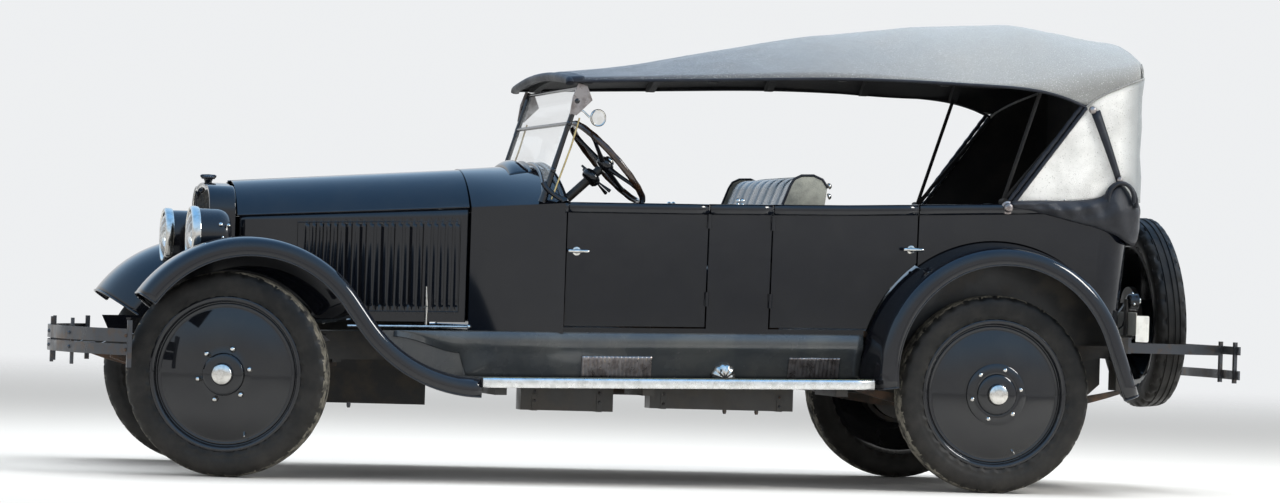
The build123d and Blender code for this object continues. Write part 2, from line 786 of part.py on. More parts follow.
def running_board():
    low = BOARD_TOP - BOARD_T
    level = [raked(900, low), raked(2800, low), raked(2800, BOARD_TOP), raked(900, BOARD_TOP)]
    return plan_prism(board_plan(), 300, 600) & side_prism(level, -900, -400)


def splash_apron():
    """Left apron: a flared wall from the board up to the frame, and a shelf over the rail."""
    low = BOARD_TOP - BOARD_T
    top = FRAME_TOP + SHEET
    y0 = -VALANCE_Y
    wall = [
        (BOARD_FRONT, y0 + SHEET),
        (APRON_MID_D, -APRON_MID_Y),
        (BOARD_REAR, -APRON_REAR_Y),
        (BOARD_REAR, -APRON_REAR_Y - SHEET),
        (APRON_MID_D, -APRON_MID_Y - SHEET),
        (BOARD_FRONT, y0 - SHEET),
    ]
    band = side_prism([raked(900, low), raked(2800, low), raked(2800, top), raked(900, top)], -900, -300)
    shape = plan_prism(wall, 300, 700) & band
    shelf = [
        (SHELL_REAR_D + 30, -RAIL_FRONT_Y + 40),
        (COWL_D, -RAIL_FRONT_Y + 40),
        (COWL_D, -RAIL_FRONT_Y + 8),
        (BODY_FRONT_D, -BODY_HALF_FRONT + TUMBLE + BODY_WALL),
        (BODY_FRONT_D, -APRON_MID_Y - SHEET),
        (APRON_MID_D, -APRON_MID_Y - SHEET),
        (BOARD_FRONT, y0 - SHEET),
        (BOARD_FRONT, y0 + SHEET),
        (SHELL_REAR_D + 30, y0 + SHEET),
    ]
    lid = side_prism(
        [raked(0, FRAME_TOP), raked(2000, FRAME_TOP), raked(2000, top), raked(0, top)], -900, -300
    )
    shelf_solid = plan_prism(shelf, 500, 700) & lid
    fill = [at(FF_FILL_D, 570)] + fender_line() + [raked(BOARD_FRONT + 1, low), raked(BOARD_FRONT + 1, top)]
    fill += [raked(FF_FILL_D, top)]
    front_wall = side_prism(fill, y0, y0 + SHEET)
    return shape + shelf_solid + front_wall - cowl_outer() - hull(0) - board_brackets()


# Body


def body_plan(inset, back, half_front, half_rear, z):
    """Outline of the body seen from above, rounded at its rear corners."""
    x0 = FRONT_AXLE_X + BODY_FRONT_D
    xd = FRONT_AXLE_X + REAR_DOOR_REAR
    xb = FRONT_AXLE_X + back - inset
    hf = half_front - inset
    hr = half_rear - inset
    r = CORNER_R - inset
    s = r * (1 - math.sqrt(0.5))
    edges = [
        Line((x0, hf, z), (x0, -hf, z)),
        Line((x0, -hf, z), (xd, -hr, z)),
        Line((xd, -hr, z), (xb - r, -hr, z)),
        ThreePointArc((xb - r, -hr, z), (xb - s, -hr + s, z), (xb, -hr + r, z)),
        Line((xb, -hr + r, z), (xb, hr - r, z)),
        ThreePointArc((xb, hr - r, z), (xb - s, hr - s, z), (xb - r, hr, z)),
        Line((xb - r, hr, z), (xd, hr, z)),
        Line((xd, hr, z), (x0, hf, z)),
    ]
    return make_face(Wire(edges))


HULL_LOW = FRAME_TOP - 40
HULL_HIGH = 1300.0


def hull(inset):
    low = body_plan(inset, BODY_BACK_D - 45, BODY_HALF_FRONT - TUMBLE, BODY_HALF - TUMBLE, HULL_LOW)
    high = body_plan(inset, BODY_BACK_D + 10, BODY_HALF_FRONT, BODY_HALF, HULL_HIGH)
    return loft([low, high], ruled=True)


def hull_shell():
    reach = BODY_HALF_FRONT - TUMBLE - BODY_WALL - 3
    opening = block(BODY_FRONT_D - 5, BODY_FRONT_D + BODY_WALL + 5, -reach, reach, 500, 1400)
    return hull(0) - hull(BODY_WALL) - opening


def belt_points(d0, d1):
    """The belt line from d0 to d1."""
    inner = [(d, z) for d, z in BELT if d0 < d < d1]
    return [(d0, line_z(BELT, d0))] + inner + [(d1, line_z(BELT, d1))]


def panel(d0, d1, base):
    """Side outline of a body panel between two distances, its top on the belt line."""
    top = [at(d, z) for d, z in reversed(belt_points(d0, d1))]
    return [raked(d0, base), raked(d1, base)] + top


def arch_cutter(clear):
    """The space of the rear fenders in the body: their arc and the straight heel behind it."""
    cx, cz = RF_CENTRE
    x = FRONT_AXLE_X + cx
    radius = RF_R + RF_RISE + 2 + clear
    leave = math.radians(RF_LEAVE)
    dx, dz = radius * math.cos(leave), radius * math.sin(leave)
    run = dz + cz - RF_HEEL_Z
    heel = [(x, cz), (x + dx, cz + dz), (x + dx + run * math.tan(leave), RF_HEEL_Z), (x, RF_HEEL_Z)]
    return rod((x, -1000, cz), (x, 1000, cz), radius) + side_prism(heel, -1000, 1000)


def door_edges(front):
    if front:
        return (BODY_FRONT_D + DOOR_GAP, FRONT_DOOR_REAR - DOOR_GAP / 2)
    return (REAR_DOOR_FRONT + DOOR_GAP / 2, REAR_DOOR_REAR - DOOR_GAP)


HINGE_BARREL_R = 8.0
HINGE_OUT = 10.0
HINGE_H = 60.0


def side_face(d, z):
    """Half width of the body's outer face on a straight side panel."""
    share = min(1.0, (d - BODY_FRONT_D) / (REAR_DOOR_REAR - BODY_FRONT_D))
    half = BODY_HALF_FRONT + (BODY_HALF - BODY_HALF_FRONT) * share
    return half - TUMBLE * (HULL_HIGH - z) / (HULL_HIGH - HULL_LOW)


def hinge_line(front, side):
    """Two points on a door's hinge axis."""
    d = FRONT_DOOR_REAR if front else REAR_DOOR_FRONT
    low = (FRONT_AXLE_X + d, side * (side_face(d, 700) + HINGE_OUT), 700)
    high = (FRONT_AXLE_X + d, side * (side_face(d, 1150) + HINGE_OUT), 1150)
    return low, high


def along(p, q, z):
    """The point at height z on the line through p and q."""
    t = (z - p[2]) / (q[2] - p[2])
    return tuple(a + (b - a) * t for a, b in zip(p, q))


HINGE_HEIGHTS = (760.0, 1090.0)


def hinge_barrels(front, side):
    """The door's barrels and the post's barrels, on one axis."""
    low, high = hinge_line(front, side)
    reach = -30 if front else 30
    on_door = None
    on_post = None
    for z in HINGE_HEIGHTS:
        mid = z + HINGE_H / 2
        door_bar = rod(along(low, high, z), along(low, high, mid), HINGE_BARREL_R)
        post_bar = rod(along(low, high, mid + HINGE_PLAY), along(low, high, z + HINGE_H), HINGE_BARREL_R)
        x, y, _ = along(low, high, z)
        y0, y1 = sorted((y, y - side * 14))
        door_leaf = Pos(x, (y0 + y1) / 2, z + HINGE_H / 4) * Box(6, y1 - y0, HINGE_H / 2 - 2)
        door_leaf = Pos(math.copysign(7, reach), 0, 0) * door_leaf
        post_leaf = Pos(x, (y0 + y1) / 2, z + HINGE_H * 3 / 4 + 1) * Box(6, y1 - y0, HINGE_H / 2 - 3)
        post_leaf = Pos(-math.copysign(7, reach), 0, 0) * post_leaf
        on_door = door_bar + door_leaf if on_door is None else on_door + door_bar + door_leaf
        on_post = post_bar + post_leaf if on_post is None else on_post + post_bar + post_leaf
    return on_door, on_post


def door_handle(front, side):
    """A T-handle near the door's free edge."""
    d = BODY_FRONT_D + 48 if front else REAR_DOOR_REAR - 32
    z = 976 if front else 1028
    y = side * (side_face(d, z) - 4)
    tip = y + side * 46
    x = FRONT_AXLE_X + d
    stem = rod((x, y, z), (x, tip, z), 8)
    grip = rod((x - 38, tip, z), (x + 38, tip, z), 7)
    return stem + grip


def door(front, side, shell):
    d0, d1 = door_edges(front)
    y0, y1 = (-900, -300) if side < 0 else (300, 900)
    shape = shell & side_prism(panel(d0, d1, FRAME_TOP + SILL_H + DOOR_GAP), y0, y1)
    if not front:
        shape -= arch_cutter(14)
    barrels, _ = hinge_barrels(front, side)
    return shape + barrels + door_handle(front, side)


def body_sides(shell):
    """Sills under the doors and the posts between them, on both sides."""
    sill = [
        raked(BODY_FRONT_D, FRAME_TOP),
        raked(2690, FRAME_TOP),
        raked(2690, FRAME_TOP + SILL_H),
        raked(BODY_FRONT_D, FRAME_TOP + SILL_H),
    ]
    post = panel(FRONT_DOOR_REAR + DOOR_GAP / 2, REAR_DOOR_FRONT - DOOR_GAP / 2, FRAME_TOP)
    shape = shell & (side_prism(sill, -900, 900) + side_prism(post, -900, 900))
    for front in (True, False):
        for side in (-1, 1):
            shape += hinge_barrels(front, side)[1]
    return shape


def body_rear(shell):
    """Rear quarters and back panel in one pressing."""
    shape = shell & side_prism(panel(REAR_DOOR_REAR, 3990, FRAME_TOP), -900, 900)
    return shape - arch_cutter(SEAT_GAP)


def floor():
    plan = [
        (COWL_D + 22, -330),
        (COWL_D + 22, 330),
        (BODY_FRONT_D, 530),
        (2640, 620),
        (3800, 620),
        (3800, -620),
        (2640, -620),
        (BODY_FRONT_D, -530),
    ]
    top = FRAME_TOP + FLOOR_T
    band = [
        raked(COWL_D, FRAME_TOP),
        raked(3840, FRAME_TOP),
        raked(3840, top),
        raked(COWL_D, top),
    ]
    shape = plan_prism(plan, 500, 800) & side_prism(band, -800, 800)
    toe_end = BODY_FRONT_D - 50
    toe = [at(COWL_D + 22, 840), at(COWL_D + 22, 862), raked(toe_end, top), raked(toe_end - 30, top)]
    shape += side_prism(toe, -320, 320)
    front_box = [raked(1800, top), raked(2360, top), raked(2360, 760), raked(1800, 760)]
    shape += side_prism(front_box, -500, 500)
    rear_box = [raked(2960, top), raked(3560, top), raked(3560, 740), raked(2960, 740)]
    shape += side_prism(rear_box, -560, 560)
    return shape


def seat(points, half):
    return side_prism(points, -half, half)


def front_seat():
    base = 760
    outline = [
        raked(1760, base + 0.3),
        raked(2330, base + 0.3),
        raked(2500, 980),
        at(2560, 1290),
        at(2480, 1340),
        at(2390, 1330),
        at(2230, 930),
        at(1780, 950),
        at(1745, 900),
    ]
    return seat(outline, 540)


def rear_seat():
    base = 740
    outline = [
        raked(2930, base + 0.3),
        raked(3540, base + 0.3),
        at(3740, 1240),
        at(3660, 1290),
        at(3540, 1280),
        at(3420, 930),
        at(2950, 950),
        at(2915, 900),
    ]
    return seat(outline, 590)


def cowl_section(d, half, crease, crown, inset, low):
    x = FRONT_AXLE_X + d
    w = half - inset
    edges = [
        Line((x, w, low), (x, -w, low)),
        Line((x, -w, low), (x, -w, crease)),
        ThreePointArc((x, -w, crease), (x, 0, crown - inset), (x, w, crease)),
        Line((x, w, crease), (x, w, low)),
    ]
    return make_face(Wire(edges))


COWL_WALL = 22.0


def cowl_outer():
    front = cowl_section(COWL_D, HOOD_HALF_REAR + 6, CREASE_REAR, CROWN_REAR + 4, 0, 500)
    rear = cowl_section(BODY_FRONT_D, BODY_HALF_FRONT - 2, 1177, 1352, 0, 500)
    return loft([front, rear], ruled=True)


def cowl_inner():
    front = cowl_section(COWL_D - 5, HOOD_HALF_REAR + 3, CREASE_REAR, CROWN_REAR + 4, COWL_WALL, 450)
    rear = cowl_section(BODY_FRONT_D + 5, BODY_HALF_FRONT, 1177, 1352, COWL_WALL, 450)
    return loft([front, rear], ruled=True)


def cowl():
    """Scuttle with its firewall and instrument board."""
    outer = cowl_outer()
    inner = cowl_inner()
    above = side_prism(
        [raked(COWL_D - 100, FRAME_TOP), raked(BODY_FRONT_D + 100, FRAME_TOP), at(BODY_FRONT_D + 100, 1500),
         at(COWL_D - 100, 1500)], -900, 900
    )
    firewall = block(COWL_D, COWL_D + 20, -700, 700, 500, 1500) & outer
    board = block(BODY_FRONT_D - 40, BODY_FRONT_D - 22, -700, 700, 1030, 1500) & outer
    hub, up = column_line()
    hole = rod(hub - up * 500, hub, COLUMN_R + HINGE_PLAY)
    return (outer - inner + firewall + board - hole) & above


# Bonnet and radiator


def radiator_outline(inset, d):
    x = FRONT_AXLE_X + d
    w = SHELL_HALF - inset
    top = SHELL_TOP - inset
    shoulder = CREASE_FRONT
    low = FRAME_TOP + inset
    bend = 0.72
    edges = [
        Line((x, w, low), (x, -w, low)),
        Line((x, -w, low), (x, -w, shoulder)),
        ThreePointArc((x, -w, shoulder), (x, -w * 0.86, top - (top - shoulder) * 0.3), (x, -w * 0.5, top - 16)),
        ThreePointArc((x, -w * 0.5, top - 16), (x, 0, top), (x, w * 0.5, top - 16)),
        ThreePointArc((x, w * 0.5, top - 16), (x, w * 0.86, top - (top - shoulder) * 0.3), (x, w, shoulder)),
        Line((x, w, shoulder), (x, w, low)),
    ]
    return make_face(Wire(edges))


CORE_FRONT_D = -50.0
CORE_REAR_D = 20.0
CORE_INSET = 26.0


def radiator_shell():
    length = SHELL_REAR_D - SHELL_FRONT_D
    shape = extrude(radiator_outline(0, SHELL_FRONT_D), amount=length, dir=(1, 0, 0))
    hole = extrude(radiator_outline(CORE_INSET, SHELL_FRONT_D - 5), amount=length + 10, dir=(1, 0, 0))
    shape -= hole
    x = FRONT_AXLE_X + FILLER_D
    shape += rod((x, 0, SHELL_TOP - 12), (x, 0, SHELL_TOP + FILLER_RISE), FILLER_R)
    shape += rod((x, 0, SHELL_TOP + FILLER_RISE), (x, 0, SHELL_TOP + FILLER_RISE + 9), FILLER_CAP_R)
    return shape


def radiator_core():
    length = CORE_REAR_D - CORE_FRONT_D
    return extrude(radiator_outline(CORE_INSET, CORE_FRONT_D), amount=length, dir=(1, 0, 0))


def hood_axis():
    """Two points on the bonnet's centre hinge."""
    x0 = FRONT_AXLE_X + SHELL_REAR_D
    x1 = FRONT_AXLE_X + COWL_D
    rise = (CROWN_REAR - CROWN_FRONT) / (HOOD_REAR_D - HOOD_FRONT_D)
    z0 = CROWN_FRONT - HINGE_R - rise * (HOOD_FRONT_D - SHELL_REAR_D)
    z1 = CROWN_REAR - HINGE_R + rise * (COWL_D - HOOD_REAR_D)
    return (x0, 0, z0), (x1, 0, z1)


def crease_axis(side):
    """Two points on the crease hinge between a top leaf and its side leaf."""
    front = (FRONT_AXLE_X + HOOD_FRONT_D, side * (HOOD_HALF_FRONT - HINGE_R), CREASE_FRONT)
    rear = (FRONT_AXLE_X + HOOD_REAR_D, side * (HOOD_HALF_REAR - HINGE_R), CREASE_REAR)
    return front, rear


def hood_hinge():
    start, end = hood_axis()
    return rod(start, end, HINGE_R)


def top_leaf_section(d, half, crease, crown):
    """Left top leaf's section: an arc from the centre hinge to the crease."""
    x = FRONT_AXLE_X + d
    gap = HINGE_R + HINGE_PLAY
    z0 = crown - HINGE_R
    w = half - HINGE_R
    drop = z0 - crease
    start = (x, -gap, z0 + HOOD_T / 2)
    bulge = (x, -w * 0.62, z0 - drop * 0.24 + HOOD_T / 2)
    end = (x, -w - HOOD_T / 2, crease)
    start_in = (x, -gap, z0 - HOOD_T / 2)
    bulge_in = (x, -w * 0.62 + HOOD_T * 0.3, z0 - drop * 0.24 - HOOD_T / 2)
    end_in = (x, -w + HOOD_T / 2, crease)
    edges = [
        ThreePointArc(start, bulge, end),
        Line(end, end_in),
        ThreePointArc(end_in, bulge_in, start_in),
        Line(start_in, start),
    ]
    return make_face(Wire(edges))


def bonnet_top():
    """Left top leaf with the hinge bar at its crease."""
    front = top_leaf_section(HOOD_FRONT_D, HOOD_HALF_FRONT, CREASE_FRONT, CROWN_FRONT)
    rear = top_leaf_section(HOOD_REAR_D, HOOD_HALF_REAR, CREASE_REAR, CROWN_REAR)
    shape = loft([front, rear], ruled=True)
    p, q = crease_axis(-1)
    return shape + rod(p, q, HINGE_R)


def bonnet_side():
    """Left side leaf, hung from the crease, with its louvres."""

    def section(d, half, crease):
        x = FRONT_AXLE_X + d
        y = -half + HINGE_R
        top = crease - HINGE_R - HINGE_PLAY
        low = HOOD_BASE + RAKE * d
        points = [(x, y - HOOD_T / 2, low), (x, y + HOOD_T / 2, low), (x, y + HOOD_T / 2, top)]
        points.append((x, y - HOOD_T / 2, top))
        return make_face(Polyline(*points, close=True))

    length = HOOD_REAR_D - HOOD_FRONT_D
    slope = (HOOD_HALF_REAR - HOOD_HALF_FRONT) / length
    climb = (CREASE_REAR - CREASE_FRONT) / length
    near, far = SIDE_LEAF_FRONT, SIDE_LEAF_REAR
    front = section(HOOD_FRONT_D + near, HOOD_HALF_FRONT + slope * near, CREASE_FRONT + climb * near)
    rear = section(HOOD_REAR_D - far, HOOD_HALF_REAR - slope * far, CREASE_REAR - climb * far)
    shape = loft([front, rear], ruled=True)
    turn = -math.degrees(math.atan(slope))
    step = (LOUVRE_LAST - LOUVRE_FIRST) / (LOUVRES - 1)
    height = LOUVRE_HIGH - LOUVRE_LOW
    for i in range(LOUVRES):
        d = LOUVRE_FIRST + step * i
        y = -(HOOD_HALF_FRONT + slope * (d - HOOD_FRONT_D)) + HINGE_R
        wedge = [(0, 0), (LOUVRE_W, 0), (LOUVRE_W, -LOUVRE_OUT)]
        face = make_face(Polyline(*[(a, b, 0) for a, b in wedge], close=True))
        blade = extrude(face, amount=height, dir=(0, 0, 1))
        z = LOUVRE_LOW + RAKE * d
        shape += Pos(FRONT_AXLE_X + d, y, z) * Rot(0, 0, turn) * blade
    return shape


# Top


def top_section(d, half, edge, crown, inset, low):
    x = FRONT_AXLE_X + d
    w = half - inset
    edges = [
        Line((x, w, low), (x, -w, low)),
        Line((x, -w, low), (x, -w, edge - inset)),
        ThreePointArc((x, -w, edge - inset), (x, 0, crown - inset), (x, w, edge - inset)),
        Line((x, w, edge - inset), (x, w, low)),
    ]
    return make_face(Wire(edges))


def top_solid(inset, front_more, rear_less):
    rows = [list(row) for row in TOP_STATIONS]
    rows[0][0] -= front_more
    last, before = rows[-1], rows[-2]
    share = rear_less / (last[0] - before[0])
    rows[-1] = [a + (b - a) * share for a, b in zip(last, before)]
    return loft([top_section(d, h, e, c, inset, 1100) for d, h, e, c in rows], ruled=True)


def side_window():
    """Outline of the open side, from the roof's edge down past the belt."""
    edge = [at(d, z) for d, z in TOP_EDGE]
    back = BELT[-1][0]
    belt = [at(d, line_z(BELT, d) + 2 * SEAT_GAP) for d in (BOOT_FRONT_D, back)]
    return [at(1000, 1090), at(1000, 1660)] + edge + belt + [at(back, 1090)]


def canopy():
    """Fabric top: crowned roof, closed quarters and back curtain, open at the front and sides."""
    shape = top_solid(0, 0, 0) - top_solid(TOP_T, 20, TOP_T)
    shape -= side_prism(side_window(), -900, 900)
    x = FRONT_AXLE_X + 3800
    light = Pos(x, -REAR_LIGHT_HALF, REAR_LIGHT_LOW) * Box(
        400,
        2 * REAR_LIGHT_HALF,
        REAR_LIGHT_HIGH - REAR_LIGHT_LOW,
        align=(Align.MIN, Align.MIN, Align.MIN),
    )
    return shape - light


def roof_bows():
    """Wooden bows under the fabric, with the pivot irons at the quarters."""
    ring = top_solid(TOP_T, 0, TOP_T) - top_solid(TOP_T + BOW_DEEP, 20, 0)
    shape = None
    for d in BOW_STATIONS:
        bow = ring & block(d, d + BOW_W, -900, 900, line_z(TOP_EDGE, d) - 8, 2200)
        shape = bow if shape is None else shape + bow
    x, z = at(IRON_FOOT_D, line_z(BELT, IRON_FOOT_D) + IRON_FOOT_R + 1)
    irons = rod((x, IRON_Y - 14, z), (x, BODY_HALF - BODY_WALL / 2, z), IRON_FOOT_R)
    for d, height in IRON_HEADS:
        head = at(d, height)
        irons += rod((x, IRON_Y, z), (head[0], IRON_Y, head[1]), IRON_R)
    return shape + both(irons)


# Windshield and steering wheel


def screen_place():
    return Pos(FRONT_AXLE_X + SCREEN_D, 0, SCREEN_Z) * Rot(0, LEAN, 0)


def windshield_frame():
    place = screen_place()
    shape = None
    for side in (-1, 1):
        y = side * SCREEN_HALF
        post = rod((0, y, -60), (0, y, SCREEN_TOP), POST_R)
        shape = post if shape is None else shape + post
    for z in (SCREEN_SPLIT, SCREEN_TOP - SCREEN_BAR_R):
        shape += rod((0, -SCREEN_HALF, z), (0, SCREEN_HALF, z), SCREEN_BAR_R)
    return place * shape - cowl_outer()


def windows():
    """Two windshield panes and the light in the back curtain."""
    half = SCREEN_HALF - POST_R
    lower = Pos(0, 0, (SCREEN_SPLIT - SCREEN_BAR_R) / 2 - 30) * Box(
        GLASS_T, 2 * half, SCREEN_SPLIT - SCREEN_BAR_R + 60
    )
    low = SCREEN_SPLIT + SCREEN_BAR_R
    high = SCREEN_TOP - 2 * SCREEN_BAR_R
    upper = Pos(0, 0, (low + high) / 2) * Box(GLASS_T, 2 * half, high - low)
    shape = screen_place() * (lower + upper) - cowl_outer()
    back = FRONT_AXLE_X + TOP_STATIONS[-1][0]
    light = Pos(back - TOP_T / 2, 0, (REAR_LIGHT_LOW + REAR_LIGHT_HIGH) / 2) * Box(
        4, 2 * REAR_LIGHT_HALF, REAR_LIGHT_HIGH - REAR_LIGHT_LOW
    )
    return shape + light


def column_line():
    rise = math.radians(COLUMN_RISE)
    direction = Vector(math.cos(rise), 0, math.sin(rise))
    hub = Vector(FRONT_AXLE_X + WHEEL_HUB_D, WHEEL_HUB_Y, WHEEL_HUB_Z)
    return hub, direction


def steering_column():
    hub, up = column_line()
    length = (WHEEL_HUB_D - COWL_D - 32) / math.cos(math.radians(COLUMN_RISE))
    shape = rod(hub - up * length, hub - up * 42, COLUMN_R)
    shape += rod(hub - up * 43, hub + up * 14, 10)
    lever_foot = hub - up * 80
    shape += rod(lever_foot, lever_foot + Vector(-30, 95, 40), 5)
    shape -= floor()
    return shape - cowl()


def steering_wheel():
    hub, up = column_line()
    plane = Plane(origin=hub, z_dir=up, x_dir=(0, 1, 0))
    shape = Torus(STEERING_R, STEERING_RIM)
    for i in range(4):
        a = math.radians(45 + 90 * i)
        tip = (STEERING_R * math.cos(a), STEERING_R * math.sin(a), 0)
        shape += rod((0, 0, -12), tip, 8)
    shape += Pos(0, 0, -14) * Cylinder(36, 40)
    shape -= Pos(0, 0, -20) * Cylinder(10 + RUNNING_FIT, 70)
    return plane * shape


# Lamps and bumpers


def lamp_turned(points):
    """A solid of revolution about X through a headlamp's middle."""
    x = FRONT_AXLE_X
    face = make_face(Polyline(*[(x + d, 0, r) for d, r in points], close=True))
    return revolve(face, axis=Axis.X)


LENS_R = LAMP_R - 12
LENS_D = LAMP_FRONT_D + 7
LENS_T = 5.0


def headlamps():
    seat_d = LENS_D + LENS_T
    profile = [
        (LAMP_FRONT_D, LENS_R + 0.2),
        (LAMP_FRONT_D, LAMP_R),
        (LAMP_FRONT_D + 24, LAMP_R),
        (LAMP_FRONT_D + 26, LAMP_R - 7),
        (LAMP_BACK_D - 45, LAMP_R - 7),
        (LAMP_BACK_D - 15, LAMP_R - 28),
        (LAMP_BACK_D, LAMP_R - 66),
        (LAMP_BACK_D, 0),
        (LAMP_BACK_D - 6, 0),
        (LAMP_BACK_D - 6, LAMP_R - 70),
        (LAMP_BACK_D - 50, LAMP_R - 20),
        (seat_d, LAMP_R - 20),
        (seat_d, LENS_R + 0.2),
    ]
    drum = Pos(0, LAMP_Y, LAMP_Z) * lamp_turned(profile)
    x = FRONT_AXLE_X + LAMP_BAR_D
    bar_z = LAMP_Z - LAMP_R - 14
    post = rod((x, LAMP_Y - 20, bar_z), (x, LAMP_Y, LAMP_Z - LAMP_R + 20), 11)
    hollow = Pos(0, LAMP_Y, LAMP_Z) * rod((x - 100, 0, 0), (x + 48, 0, 0), LAMP_R - 14)
    half = drum + (post - hollow)
    shape = both(half)
    reach = VALANCE_Y - SHEET
    shape += rod((x, -reach, bar_z), (x, reach, bar_z), 12)
    rail_mid = RAIL_FRONT_Y - RAIL_W / 2
    foot = FRAME_TOP + RAKE * LAMP_BAR_D + 0.5
    shape += both(rod((x, rail_mid, foot), (x, rail_mid, bar_z), 13))
    shape += both(rod((x, rail_mid, foot), (x, rail_mid, foot + 12), 22))
    return shape - both(Pos(0, LAMP_Y, LAMP_Z) * rod((x - 60, 0, 0), (x + 10, 0, 0), LAMP_R - 21))


def headlamp_lenses():
    x = FRONT_AXLE_X + LENS_D
    lens = rod((x, LAMP_Y, LAMP_Z), (x + LENS_T, LAMP_Y, LAMP_Z), LENS_R)
    return both(lens)


def bumper_bar(reach, half, bow, middle, deep):
    """A bar bowed in plan, its middle at distance reach from its axle, to -X."""
    radius = (half * half + bow * bow) / (2 * bow)
    ring = Cylinder(radius, deep) - Cylinder(radius - BUMPER_BAR_T, deep + 2)
    ring = Pos(-reach + radius, 0, middle) * ring
    keep = Pos(-reach - 5, -half, middle - deep) * Box(
        bow + 40, 2 * half, 2 * deep, align=(Align.MIN, Align.MIN, Align.MIN)
    )
    return ring & keep


def bumper_sagitta(half, bow, y):
    radius = (half * half + bow * bow) / (2 * bow)
    return radius - math.sqrt(radius * radius - y * y)


def front_bumper():
    x0 = FRONT_AXLE_X
    shape = None
    for middle, deep in FRONT_BARS:
        bar = Pos(x0, 0, 0) * bumper_bar(FRONT_REACH, BUMPER_HALF, BUMPER_BOW, middle, deep)
        shape = bar if shape is None else shape + bar
    for y in (-BUMPER_HALF + 12, -FRONT_SPRING_Y, 0, FRONT_SPRING_Y, BUMPER_HALF - 12):
        d = -FRONT_REACH + bumper_sagitta(BUMPER_HALF, BUMPER_BOW, y) + BUMPER_BAR_T * 0.6
        lean = 5 if abs(y) > 500 else 0
        shape += block(d, d + 14 + lean, y - 11, y + 11, 440, 632)
    inner = FRONT_SPRING_Y - 20
    outer = FRONT_SPRING_Y + 20
    back = HORN_D
    front = -FRONT_REACH + bumper_sagitta(BUMPER_HALF, BUMPER_BOW, FRONT_SPRING_Y) + 14
    shape += both(block(front, back, inner, outer, 505, 535))
    return shape - frame()


def rear_bumper():
    x0 = FRONT_AXLE_X + REAR_AXLE_D
    turn = Pos(x0, 0, 0) * Rot(0, 0, 180)
    shape = None
    for middle, deep in REAR_BARS:
        bar = turn * bumper_bar(REAR_REACH, REAR_BUMPER_HALF, REAR_BUMPER_BOW, middle, deep)
        shape = bar if shape is None else shape + bar
    outer = REAR_AXLE_D + REAR_REACH
    arm_y = RAIL_REAR_Y - RAIL_W / 2
    for y in (-REAR_BUMPER_HALF + 60, -arm_y, arm_y, REAR_BUMPER_HALF - 60):
        d = outer - bumper_sagitta(REAR_BUMPER_HALF, REAR_BUMPER_BOW, y) - BUMPER_BAR_T * 0.6
        shape += block(d - 14, d, y - 11, y + 11, 496, 674)
    d1 = outer - bumper_sagitta(REAR_BUMPER_HALF, REAR_BUMPER_BOW, arm_y) - 12
    z = FRAME_TOP + RAKE * FRAME_END_D - 45
    shape += both(block(FRAME_END_D, d1, arm_y - 10, arm_y + 10, z - 22, z + 22))
    shape += both(block(FRAME_END_D, FRAME_END_D + 14, arm_y - 25, arm_y + 25, z - 25, z + 45))
    return shape


def tail_lamp():
    """Round tail lamp and a blank number plate on a bracket at the left rail's end."""
    y = -RAIL_REAR_Y + 10
    d = FRAME_END_D
    z = FRAME_TOP + RAKE * FRAME_END_D
    shape = block(d - 30, d - 22, y - 60, y - 30, z, 850)
    shape += block(d - 30, d + 4, y - 60, y + 20, z, z + 6)
    x = FRONT_AXLE_X + d - 24
    shape += rod((x, y - 45, 835), (x + 52, y - 45, 835), 36)
    shape += block(d - 22, d - 19, y - 45 - 120, y - 45 + 120, 690, 790)
    return shape


def make_body():
    shell = hull_shell()
    write("body_sides", body_sides(shell))
    write("body_rear", body_rear(shell))
    write("body_floor", floor())
    write("body_cowl", cowl() + hood_hinge())
    for tag, side in (("left", -1), ("right", 1)):
        write("door_front_" + tag, door(True, side, shell))
        write("door_rear_" + tag, door(False, side, shell))
    write("front_seat", front_seat())
    write("rear_seat", rear_seat())
    write("windshield_frame", windshield_frame())
    write("window_glass", windows())
    write("roof_canopy", canopy())
    write("roof_bows", roof_bows())


def make_front():
    write("radiator_shell", radiator_shell() - hood_hinge())
    write("radiator_core", radiator_core())
    write("bonnet_top_left", bonnet_top())
    write("bonnet_side_left", bonnet_side())
    write("bonnet_top_right", mirror(bonnet_top(), about=Plane.XZ))
    write("bonnet_side_right", mirror(bonnet_side(), about=Plane.XZ))
    write("headlamps", headlamps())
    write("headlamp_lenses", headlamp_lenses())
    write("front_fenders", both(front_fender()))
    write("rear_fenders", both(rear_fender()))
    write("running_boards", both(running_board()))
    write("splash_aprons", both(splash_apron()))


def make_chassis():
    write("frame_rails", frame())
    write("board_brackets", board_brackets())
    write("spare_carrier", spare_carrier())
    write("front_axle", front_axle())
    write("rear_axle", rear_axle())
    write("leaf_springs", springs())
    write("engine_block", engine())
    write("exhaust", exhaust())
    write("fuel_tank", fuel_tank())
    write("under_boxes", under_boxes())
    write("front_bumper", front_bumper())
    write("rear_bumper", rear_bumper())
    write("tail_lamp", tail_lamp())
    write("steering_column", steering_column())
    write("steering_wheel", steering_wheel())
    write("knuckle_left", steered(knuckle(-1), -1))
    write("knuckle_right", steered(knuckle(1), 1))
    write("tie_rod", tie_rod())


os.makedirs("parts", exist_ok=True)
make_wheels()
make_chassis()
make_front()
make_body()
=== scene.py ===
import json
import math

import bmesh
import bpy
from mathutils import Matrix, Vector

